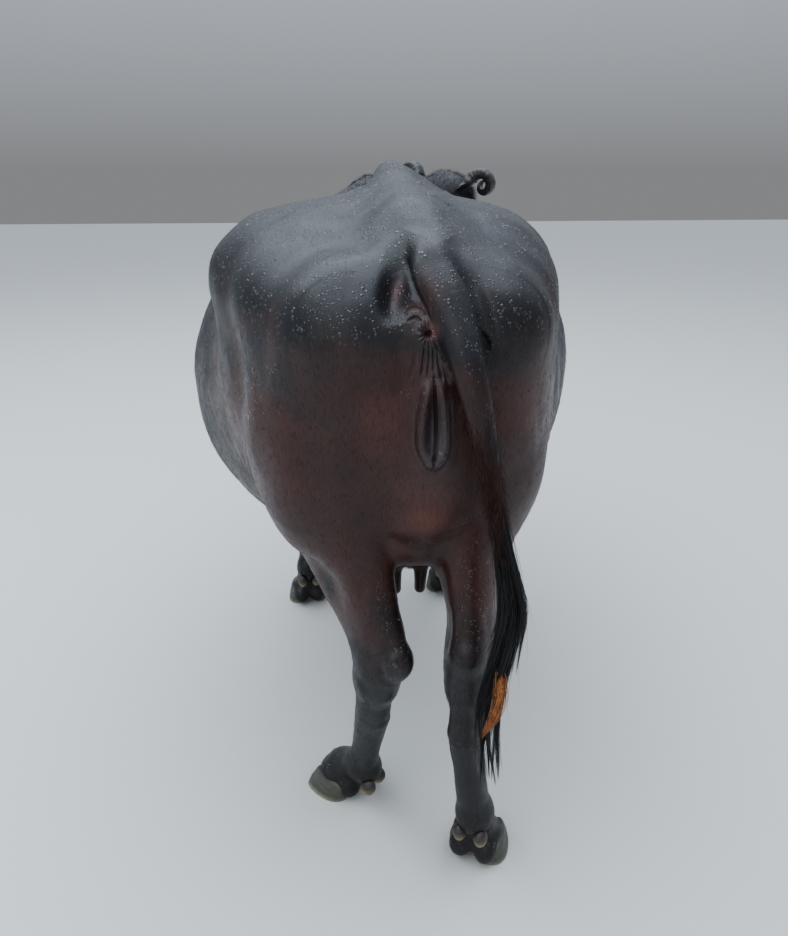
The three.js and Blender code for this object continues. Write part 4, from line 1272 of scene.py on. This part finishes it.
def unwrapped(points):
    """Where each point lies on the unwrap: the strip of its nearest line, along it and round it."""
    best = np.full(len(points), np.inf)
    uv = np.zeros((len(points), 2))
    row_height = 1 / len(UNWRAP_LINES)
    for n, line in enumerate(UNWRAP_LINES):
        curve = smooth_curve(line, UNWRAP_POINTS)
        tangent = np.gradient(curve, axis=0)
        tangent /= np.linalg.norm(tangent, axis=1)[:, None]
        for i, (at, along) in enumerate(zip(curve, tangent)):
            q = points - at
            far = (q * q).sum(1)
            closer = far < best
            up = np.cross(along, [1.0, 0.02, 0.0])
            up /= np.linalg.norm(up)
            side = np.cross(up, along)
            angle = np.arctan2(q @ up, q @ side) / (2 * math.pi) + 0.5
            share = np.clip((i + (q @ along) / UNWRAP_REACH) / UNWRAP_POINTS, 0.01, 0.99)
            uv[closer, 0] = share[closer]
            uv[closer, 1] = (n + 0.02 + 0.96 * angle[closer]) * row_height
            best[closer] = far[closer]
    return uv


def bake_patches(piece, roots, each):
    """Gives each hair a small patch of the unwrap, at the place of its root."""
    mesh = piece.data
    layer = mesh.uv_layers.new(name="OFBake")
    loops = np.empty(len(mesh.loops), np.int32)
    mesh.loops.foreach_get("vertex_index", loops)
    hair, point = loops // each, loops % each
    along = (point // 3) / max((each - 1) // 3, 1) - 0.5
    uv = unwrapped(roots)[hair] + np.stack([(point % 3) / 2 - 0.5, along], axis=1) * PATCH
    layer.data.foreach_set("uv", uv.astype(np.float32).ravel())


# Hair of the tail: wet locks whose hairs draw together towards their ends

COPPER_LINE = [[120, -56, 572], [124, -72, 545], [120, -80, 512], [107, -79, 474], [93, -68, 442]]
SWITCH_POINTS = 80
LOCKS = 54
HAIRS_IN_LOCK = 38
LONG_HAIR_POINTS = 11
LOOSE_HAIRS = 90
COPPER_HAIRS = 90


def along_line(line, t):
    """Places at shares t of the way along a line."""
    at = np.clip(t, 0, 1) * (len(line) - 1)
    return np.stack([np.interp(at, np.arange(len(line)), line[:, i]) for i in range(3)], axis=-1)


def switch_half(t):
    """Half the width of the switch at shares t of the way along it."""
    last = SWITCH_POINTS - 1
    widths = SWITCH_HALF_WIDTHS
    spread = np.interp(np.linspace(0, len(widths) - 1, SWITCH_POINTS), range(len(widths)), widths)
    return np.interp(np.clip(t, 0, 1) * last, range(SWITCH_POINTS), spread)


def tail_hair(black, copper):
    """The switch: locks, loose hairs between them, and the copper lock."""
    line = smooth_curve(SWITCH_LINE, SWITCH_POINTS)
    u = np.linspace(0, 1, LONG_HAIR_POINTS)
    lines, sides, widths = [], [], []
    for n in range(LOCKS):
        share = n / (LOCKS - 1)
        start = mix(-0.02, 0.5, share) + rng.uniform(-0.03, 0.03)
        end = min(start + mix(0.42, 0.56, share) * rng.uniform(0.75, 1.12), 1.0)
        around = n * 2.4 + rng.normal(0, 0.2)
        out = rng.uniform(0.45, 1.0)
        tip = np.array([rng.normal(0, 10), rng.normal(0, 4), rng.uniform(-26, 6)])
        sway, wave, phase = rng.normal(0, 6), rng.uniform(1, 3.4), rng.uniform(0, 6.28)
        side = np.array([-math.sin(around), math.cos(around), 0])
        outward = np.array([math.cos(around), math.sin(around) * SWITCH_FLATNESS, 0])
        open_out = np.sin(np.minimum(u * 2.6, math.pi / 2))
        swing = (sway * np.sin(u * math.pi) + wave * np.sin(9 * u + phase) * u)[:, None]
        for _ in range(HAIRS_IN_LOCK):
            t = mix(start, end, u) + rng.uniform(-0.012, 0.012)
            path = along_line(line, t)
            path += outward * (switch_half(t) * out * open_out)[:, None]
            path += tip * (u**2)[:, None] + side * swing
            own = rng.normal(0, 1, 3) * [5.2, 3.2, 5]
            path += own * (1.02 - u**0.8 * rng.uniform(0.75, 1.0))[:, None]
            lines.append(path)
            sides.append(side)
            widths.append(rng.uniform(0.9, 1.6))
    for _ in range(LOOSE_HAIRS):
        start, reach = rng.uniform(0.1, 0.75), rng.uniform(0.2, 0.36)
        t = start + reach * u
        path = along_line(line, t)
        way = np.array([rng.normal(0, 17), rng.normal(0, 8), rng.uniform(-24, 0)])
        path += np.sign(way) * [1, 0.5, 0] * (switch_half(t) * 0.6)[:, None] + way * (u**1.7)[:, None]
        lines.append(path)
        sides.append(np.array([1.0, 0, 0]))
        widths.append(rng.uniform(0.5, 0.8))
    lines, widths, sides = np.array(lines), np.array(widths), np.array(sides)
    hairs("tail_hair", lines, widths, sides, black, None, ["tail_switch"])
    path = smooth_curve(COPPER_LINE, LONG_HAIR_POINTS)
    wide = np.sin(np.clip(u * 1.15, 0, 1) * math.pi) ** 0.7
    lines, widths = [], []
    for _ in range(COPPER_HAIRS):
        shift = rng.normal(0, 1, 3) * [3.6, 1.6, 0]
        lines.append(path + shift * (0.25 + wide)[:, None] + [0, 0, rng.uniform(-12, 12)])
        widths.append(rng.uniform(0.9, 1.5))
    sides = np.tile([1.0, 0, 0], (COPPER_HAIRS, 1))
    hairs("copper_lock", np.array(lines), np.array(widths), sides, copper)


# Short coat: flat hairs over the whole hide, and longer tufts where it breaks the outline


ROOT_DEPTH = 0.8  # how deep a hair of the coat is rooted
SQUARE_MM = 1e6  # in a square metre


def skin_places(piece):
    """Area of skin that each of its points stands for, in square millimetres."""
    mesh = piece.data
    areas = np.empty(len(mesh.polygons))
    mesh.polygons.foreach_get("area", areas)
    totals = np.empty(len(mesh.polygons), np.int32)
    mesh.polygons.foreach_get("loop_total", totals)
    loops = np.empty(len(mesh.loops), np.int32)
    mesh.loops.foreach_get("vertex_index", loops)
    return np.bincount(loops, np.repeat(areas / totals, totals), len(mesh.vertices)) * SQUARE_MM


def flow_of(p):
    """The way the hair lies: back and down the trunk, down the legs and tail, along the head."""
    flow = np.tile([0.0, -0.55, -1.0], (len(p), 1))
    flow[p[:, 2] > 1200] = [0, -1, -0.5]
    flow[p[:, 2] < 560] = [0, -0.12, -1]
    flow[p[:, 1] > 1280] = [-0.35, -0.75, -0.7]
    flow[in_head(p)[:, 1] > 30] = HEAD_TURN @ np.array([0, 0.8, -0.35])
    return flow


def bare(p):
    """Places with no coat: vulva, anus, teats, eyes, muzzle and heels."""
    on = in_head(p)
    eyes = np.linalg.norm(np.abs(on) * [1, 0, 0] + on * [0, 1, 1] - EYE, axis=1) < 30
    seen = seen_from_behind(p)
    behind = (p[:, 1] < 60) & near(seen, np.array([-40, -99, 900]), np.array([50, 99, 1180]), 0)
    teats = (p[:, 2] < 650) & (np.abs(p[:, 0]) < 70) & (p[:, 1] > 150) & (p[:, 1] < 380)
    muzzle = (on[:, 1] > 430) & (on[:, 2] > -60)
    return eyes | behind | teats | muzzle | (p[:, 2] < 40)


def coat(name, wanted, count, length, width, lift, turn=0.3):
    """Hairs on the wanted share of the skin's points."""
    weight = SKIN_AREA * wanted * ~BARE
    chosen = rng.choice(len(weight), count, p=weight / weight.sum())
    out = skin_out[chosen]
    flow = flow_of(skin_points[chosen])
    along = flow - (flow * out).sum(1)[:, None] * out
    along /= np.maximum(np.linalg.norm(along, axis=1), 1e-6)[:, None]
    side = np.cross(out, along)
    angle = rng.normal(0, turn, count)[:, None]
    cos, sin = np.cos(angle), np.sin(angle)
    along, side = along * cos + side * sin, side * cos - along * sin
    spot_size = np.sqrt(SKIN_AREA[chosen])[:, None]
    place = along * rng.uniform(-0.5, 0.5, (count, 1)) + side * rng.uniform(-0.5, 0.5, (count, 1))
    root = COVER[chosen] + place * spot_size
    size = (length * rng.uniform(0.6, 1.25, count))[:, None]
    rise = (lift * rng.uniform(0.4, 1.3, count))[:, None]
    middle = root + along * size * 0.5 + out * rise * 0.8
    lines = np.stack([root - out * ROOT_DEPTH, middle, root + along * size + out * rise], axis=1)
    tones = hide_tones(root, out) * rng.uniform(0.9, 1.7, (count, 1))
    hairs(name, lines, width * rng.uniform(0.7, 1.3, count), side, COAT, tones)


def make_coats():
    """All the coat; each piece with its hairs' count, length, width, lift and turn."""
    x, y, z = skin_points.T
    up = skin_out[:, 2]
    _, from_poll, over_head = in_head(skin_points).T
    head = from_poll > -20
    legs = (z < 560) & ~head
    front = (y > 1250) & ~head & ~legs
    trunk = ~head & ~legs & ~front
    coat("coat_rump", trunk * (y < 620) * mix(0.35, 1, level(z, 1180, 1060)), 19500, 13, 0.32, 0.7, 0.16)
    coat("coat_trunk", trunk & (y >= 620), 19500, 15, 0.4, 0.9, 0.2)
    coat("coat_neck", front, 14000, 17, 0.45, 1.2, 0.2)
    coat("coat_legs", legs, 19500, 12, 0.36, 0.9, 0.2)
    coat("coat_head", head, 14000, 10, 0.34, 0.9, 0.2)
    topline = (z > 1230) & (y > 760) & ~head & (up > 0.75)
    coat("tufts_topline", topline * level(np.abs(x), 160, 20), 2600, 24, 0.5, 4)
    coat("tufts_crest", front & (up > 0.6), 2600, 30, 0.6, 6)
    coat("tufts_belly", trunk & (up < -0.8), 2600, 26, 0.6, 6)
    coat("tufts_poll", head & (from_poll < 90) & (over_head > 20), 2200, 44, 0.6, 7, 0.35)
    coat("tufts_chin", head & (from_poll > 330) & (over_head < -66), 500, 34, 0.4, 14)
    tail = (y < 60) & (z < 1040) & (z > 790) & (skin_out[:, 1] < 0.9) & (np.abs(x - 82) < 34) & (y < -12)
    coat("tufts_tail", tail * level(z, 1060, 860), 1500, 40, 0.55, 3, 0.2)


# Materials


def new_material(name):
    material = bpy.data.materials.new(name)
    material.use_nodes = True
    tree = material.node_tree
    return material, tree, tree.nodes["Principled BSDF"]


class Nodes:
    """Short calls for the nodes of one material, on the place in metres."""

    def __init__(self, name):
        self.material, self.tree, self.shader = new_material(name)
        self.place = self.tree.nodes.new("ShaderNodeTexCoord").outputs["Object"]

    def link(self, a, b):
        self.tree.links.new(a, b)

    def to(self, socket, value):
        """Feeds a socket of the shader."""
        self.link(value, self.shader.inputs[socket])

    def scaled(self, scale):
        node = self.tree.nodes.new("ShaderNodeMapping")
        node.inputs["Scale"].default_value = scale
        self.link(self.place, node.inputs["Vector"])
        return node.outputs["Vector"]

    def noise(self, scale, detail=3, rough=0.55):
        node = self.tree.nodes.new("ShaderNodeTexNoise")
        node.inputs["Detail"].default_value = detail
        node.inputs["Roughness"].default_value = rough
        node.inputs["Scale"].default_value = 1
        self.link(self.scaled(scale if isinstance(scale, tuple) else (scale,) * 3), node.inputs["Vector"])
        return node.outputs["Fac"]

    def cells(self, scale):
        node = self.tree.nodes.new("ShaderNodeTexVoronoi")
        node.inputs["Scale"].default_value = scale
        self.link(self.place, node.inputs["Vector"])
        return node.outputs["Distance"]

    def math(self, kind, a, b):
        node = self.tree.nodes.new("ShaderNodeMath")
        node.operation = kind
        for socket, value in zip(node.inputs, (a, b)):
            if isinstance(value, (int, float)):
                socket.default_value = value
            else:
                self.link(value, socket)
        return node.outputs[0]

    def spread(self, value, low, high, to_low=0.0, to_high=1.0):
        node = self.tree.nodes.new("ShaderNodeMapRange")
        for name, number in (("From Min", low), ("From Max", high), ("To Min", to_low), ("To Max", to_high)):
            node.inputs[name].default_value = number
        self.link(value, node.inputs["Value"])
        return node.outputs["Result"]

    def tinted(self, share, a, b):
        """A mix of two fixed colours."""
        node = self.tree.nodes.new("ShaderNodeMix")
        node.data_type = "RGBA"
        self.link(share, node.inputs["Factor"])
        for name, colour in (("A", a), ("B", b)):
            socket = next(i for i in node.inputs if i.name == name and i.type == "RGBA")
            socket.default_value = (*colour, 1)
        return next(o for o in node.outputs if o.type == "RGBA")

    def tone(self):
        node = self.tree.nodes.new("ShaderNodeAttribute")
        node.attribute_name = "tone"
        return node.outputs["Color"]

    def brightened(self, colour, value):
        node = self.tree.nodes.new("ShaderNodeHueSaturation")
        self.link(value, node.inputs["Value"])
        self.link(colour, node.inputs["Color"])
        return node.outputs["Color"]

    def bump(self, height, strength, distance, after=None):
        node = self.tree.nodes.new("ShaderNodeBump")
        node.inputs["Strength"].default_value = strength
        node.inputs["Distance"].default_value = distance
        self.link(height, node.inputs["Height"])
        if after is not None:
            self.link(after, node.inputs["Normal"])
        return node.outputs["Normal"]

    def set(self, **values):
        for name, value in values.items():
            self.shader.inputs[name.replace("_", " ")].default_value = value


# Layers of drops: cells to the metre, and the level of slow noise at which drops stand
DROP_LAYERS = ((120, 0.58), (190, 0.55))
DROP_SIZE = 0.36  # of the widest drop, in cells


def drops(n):
    """How high the water stands: round drops in patches."""
    highest = None
    for cells, edge in DROP_LAYERS:
        patches = n.spread(n.noise(cells * 0.45, 1), edge - 0.13, edge + 0.06)
        round_top = n.math("SUBTRACT", n.math("MULTIPLY", patches, DROP_SIZE), n.cells(cells))
        top = n.math("POWER", n.math("MAXIMUM", round_top, 0), 0.55)
        highest = top if highest is None else n.math("MAXIMUM", highest, top)
    return highest


def upper_sides(n):
    """From 0 on the underside to 1 where the hide faces up, so that more drops stand there."""
    split = n.tree.nodes.new("ShaderNodeSeparateXYZ")
    geometry = n.tree.nodes.new("ShaderNodeNewGeometry")
    n.link(geometry.outputs["Normal"], split.inputs[0])
    return n.spread(split.outputs["Z"], -0.1, 0.4)


def hide_material():
    n = Nodes("wet_hide")
    mottle = n.noise(9, 4, 0.6)
    pores = n.noise(420, 2)
    hair = n.noise((520, 520, 46), 2, 0.6)
    fine_hair = n.noise((1300, 1300, 120), 2, 0.6)
    shade = n.math("MULTIPLY", n.spread(mottle, 0.3, 0.7, 0.7, 1.35), n.spread(hair, 0.3, 0.7, 0.75, 1.3))
    n.to("Base Color", n.brightened(n.tone(), shade))
    wet = n.spread(n.noise(14, 3), 0.38, 0.62, 0.5, 0.38)
    n.to("Roughness", n.math("ADD", wet, n.spread(pores, 0.3, 0.7, -0.05, 0.07)))
    normal = n.bump(hair, 0.32, 0.0011)
    normal = n.bump(fine_hair, 0.25, 0.0005, normal)
    normal = n.bump(pores, 0.18, 0.0006, normal)
    height = n.math("MULTIPLY", drops(n), upper_sides(n))
    n.to("Coat Normal", n.bump(height, 1.0, 0.004, normal))
    n.to("Normal", n.bump(height, 0.6, 0.003, normal))
    standing = n.spread(height, 0.02, 0.12)
    n.to("Coat Weight", n.spread(standing, 0, 1, 0.16, 0.9))
    n.to("Coat Roughness", n.spread(standing, 0, 1, 0.27, 0.07))
    n.set(Specular_IOR_Level=0.38)
    return n.material


def horn_material():
    n = Nodes("horn")
    grain = n.noise((60, 60, 900), 4, 0.6)
    n.to("Base Color", n.brightened(n.tone(), n.spread(grain, 0.3, 0.7, 0.7, 1.4)))
    n.to("Roughness", n.spread(n.noise(80, 4), 0.3, 0.7, 0.28, 0.5))
    normal = n.bump(n.noise(300, 4, 0.6), 0.3, 0.0012)
    n.to("Normal", n.bump(n.noise((30, 30, 700), 3), 0.25, 0.0008, normal))
    n.set(Coat_Weight=0.25, Coat_Roughness=0.2)
    return n.material


def claw_material():
    n = Nodes("claw")
    rings = n.noise((40, 40, 420), 3)
    stain = n.noise(60, 4, 0.6)
    colour = n.brightened(n.tone(), n.math("MULTIPLY", n.spread(rings, 0.3, 0.7, 0.75, 1.3),
                                           n.spread(stain, 0.3, 0.7, 0.7, 1.25)))
    n.to("Base Color", colour)
    n.to("Roughness", n.spread(stain, 0.3, 0.7, 0.34, 0.62))
    normal = n.bump(rings, 0.4, 0.0012)
    n.to("Normal", n.bump(n.noise((700, 700, 60), 3), 0.25, 0.0006, normal))
    return n.material


def hair_material(name, root, tip):
    n = Nodes(name)
    strands = n.noise((900, 900, 24), 2, 0.6)
    n.to("Base Color", n.tinted(n.spread(strands, 0.35, 0.68), root, tip))
    n.to("Roughness", n.spread(strands, 0.3, 0.7, 0.3, 0.5))
    n.to("Normal", n.bump(strands, 0.3, 0.0005))
    return n.material


def coat_material():
    n = Nodes("short_coat")
    strands = n.noise((900, 900, 200), 2, 0.6)
    n.to("Base Color", n.brightened(n.tone(), n.spread(strands, 0.3, 0.7, 0.7, 1.5)))
    n.to("Roughness", n.spread(strands, 0.3, 0.7, 0.36, 0.5))
    n.set(Coat_Weight=0.14, Coat_Roughness=0.27, Specular_IOR_Level=0.4)
    return n.material


def eye_material():
    n = Nodes("eyeball")
    veins = n.spread(n.noise(900, 3), 0.3, 0.7, 0.7, 1.3)
    n.to("Base Color", n.brightened(n.tone(), veins))
    n.set(Roughness=0.16, Coat_Weight=1.0, Coat_Roughness=0.02)
    return n.material


HIDE = hide_material()
HORN = horn_material()
CLAW = claw_material()
HAIR = hair_material("tail_hair", (0.006, 0.005, 0.005), (0.022, 0.019, 0.019))
COAT = coat_material()
COPPER = hair_material("copper_hair", (0.07, 0.018, 0.007), (0.6, 0.25, 0.09))
EYEBALL = eye_material()

skin.data.materials.append(HIDE)

FLESH_NODES = ["head", "neck", "torso", "udder", "tail_root", "tail_middle", "tail_tip"]
for side in ("left", "right"):
    for leg in ("hind", "fore"):
        FLESH_NODES += [f"{leg}_{side}_upper", f"{leg}_{side}_lower"]
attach(skin, "root")
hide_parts(*FLESH_NODES)


def horn_tones(verts):
    """Darker at the root, paler and worn towards the tip."""
    share = np.linspace(0, 1, len(verts))[:, None]
    return mix(np.array([0.018, 0.017, 0.017]), np.array([0.045, 0.04, 0.036]), share**1.5)


def claw_tones(verts):
    """Grey-green horn with a paler edge below, and the dark band of skin at the top."""
    z = verts[:, 2:3]
    tones = mix(np.array([0.20, 0.19, 0.13]), np.array([0.062, 0.064, 0.05]), level(z, 0, 16))
    return mix(tones, np.array([0.022, 0.020, 0.020]), level(z, 54, 66))


def dewclaw_tones(verts):
    """Pale at the lower end, dark at the root."""
    z = verts[:, 2:3]
    share = (z - z.min()) / (z.max() - z.min())
    return mix(np.array([0.24, 0.19, 0.12]), np.array([0.035, 0.03, 0.026]), level(share, 0.1, 0.75))


def ear_tones(verts):
    return hide_tones(verts, np.tile([0, 0, 1.0], (len(verts), 1)))


def eye_tones(s):
    """Iris with a long level pupil, and a dark rim of white."""
    def tones(verts):
        on = (in_head(verts) - EYE * [s, 1, 1]) / EYE_RADIUS
        r = np.hypot(on[:, 1], on[:, 2])[:, None]
        front = (on[:, :1] * s > 0).astype(float)
        iris = mix(np.array([0.035, 0.014, 0.006]), np.array([0.010, 0.005, 0.003]), level(r, 0.3, 0.6))
        tones = mix(iris, np.array([0.16, 0.12, 0.10]), level(r, 0.62, 0.72))
        pupil = level(1 - np.hypot(on[:, 1] / 0.36, on[:, 2] / 0.17)[:, None], -0.08, 0.08)
        tones = mix(tones, np.array([0.001, 0.001, 0.0015]), pupil)
        return mix(np.array([0.16, 0.12, 0.10]), tones, front)
    return tones


for side, s in (("left", LEFT), ("right", RIGHT)):
    closed_piece("horn_" + side, horn_rings(s), HORN, ["horn_" + side], horn_tones)
    closed_piece("ear_" + side, ear_rings(s), HIDE, ["ear_" + side], ear_tones)
    closed_piece("eye_" + side, eye_rings(s), EYEBALL, ["eye_" + side], eye_tones(s))
    for leg_name, legs in (("hind", HIND), ("fore", FORE)):
        foot, fetlock, toe_out = (legs[s][key] for key in ("foot", "fetlock", "toe_out"))
        for claw_name, outer in (("outer", 1), ("inner", -1)):
            name = f"{leg_name}_{side}_{claw_name}"
            closed_piece("claw_" + name, claw_rings(s, foot, toe_out, outer), CLAW, ["claw_" + name],
                         claw_tones)
            closed_piece("dewclaw_" + name, dewclaw_rings(s, fetlock, toe_out, outer), CLAW,
                         ["dewclaw_" + name], dewclaw_tones)
tail_hair(HAIR, COPPER)

SKIN_AREA = skin_places(skin)
COVER = skin_points + skin_out * skin_move[:, None]
BARE = bare(skin_points)
make_coats()


# Floor, lights and camera


def make_stage():
    bpy.ops.mesh.primitive_plane_add(size=40, location=(0, 0, 0))
    floor = bpy.context.object
    floor.name = "floor"
    material, tree, shader = new_material("floor")
    shader.inputs["Base Color"].default_value = (0.5, 0.5, 0.485, 1)
    shader.inputs["Roughness"].default_value = 0.85
    floor.data.materials.append(material)


def area_light(name, at, target, size, watts, colour):
    data = bpy.data.lights.new(name, "AREA")
    data.shape = "RECTANGLE"
    data.size, data.size_y = size
    data.energy = watts
    data.color = colour
    lamp = bpy.data.objects.new(name, data)
    bpy.context.scene.collection.objects.link(lamp)
    lamp.location = at
    lamp.rotation_euler = (Vector(target) - Vector(at)).to_track_quat("-Z", "Y").to_euler()


def make_lights():
    """A sky that is bright and a little blue overhead and darker round the horizon, and soft lamps."""
    world = bpy.data.worlds.new("studio")
    bpy.context.scene.world = world
    world.use_nodes = True
    tree = world.node_tree
    place = tree.nodes.new("ShaderNodeTexCoord")
    split = tree.nodes.new("ShaderNodeSeparateXYZ")
    ramp = tree.nodes.new("ShaderNodeValToRGB")
    tree.links.new(place.outputs["Generated"], split.inputs[0])
    tree.links.new(split.outputs["Z"], ramp.inputs["Fac"])
    tree.links.new(ramp.outputs["Color"], tree.nodes["Background"].inputs["Color"])
    ramp.color_ramp.elements[0].position = 0.0
    ramp.color_ramp.elements[0].color = (0.28, 0.285, 0.295, 1)
    ramp.color_ramp.elements[1].position = 0.75
    ramp.color_ramp.elements[1].color = (1.15, 1.27, 1.45, 1)
    tree.nodes["Background"].inputs["Strength"].default_value = 0.8
    area_light("sky", (-0.8, -0.2, 5.2), (0, 0, 0.9), (8.5, 8.5), 520, (0.84, 0.92, 1))
    area_light("fill", (-2.4, -4.2, 2.4), (0, -0.6, 0.9), (4, 3), 36, (1, 0.97, 0.93))


PHOTO_HEIGHT = 936
FOCAL_PIXELS = 789
SENSOR_MM = 36
CAMERA_DOWN = 20.8
CAMERA_YAW = -5.5


def make_camera():
    data = bpy.data.cameras.new("camera")
    data.sensor_width = SENSOR_MM
    data.lens = FOCAL_PIXELS / PHOTO_HEIGHT * SENSOR_MM
    data.clip_end = 60
    camera = bpy.data.objects.new("camera", data)
    bpy.context.scene.collection.objects.link(camera)
    camera.location = to_model(STANDING_POINT)
    camera.rotation_euler = (math.radians(90 - CAMERA_DOWN), 0, math.radians(CAMERA_YAW))
    bpy.context.scene.camera = camera


make_stage()
make_lights()
make_camera()

view = bpy.context.scene.view_settings
view.view_transform = "AgX"
view.look = "AgX - Medium High Contrast"
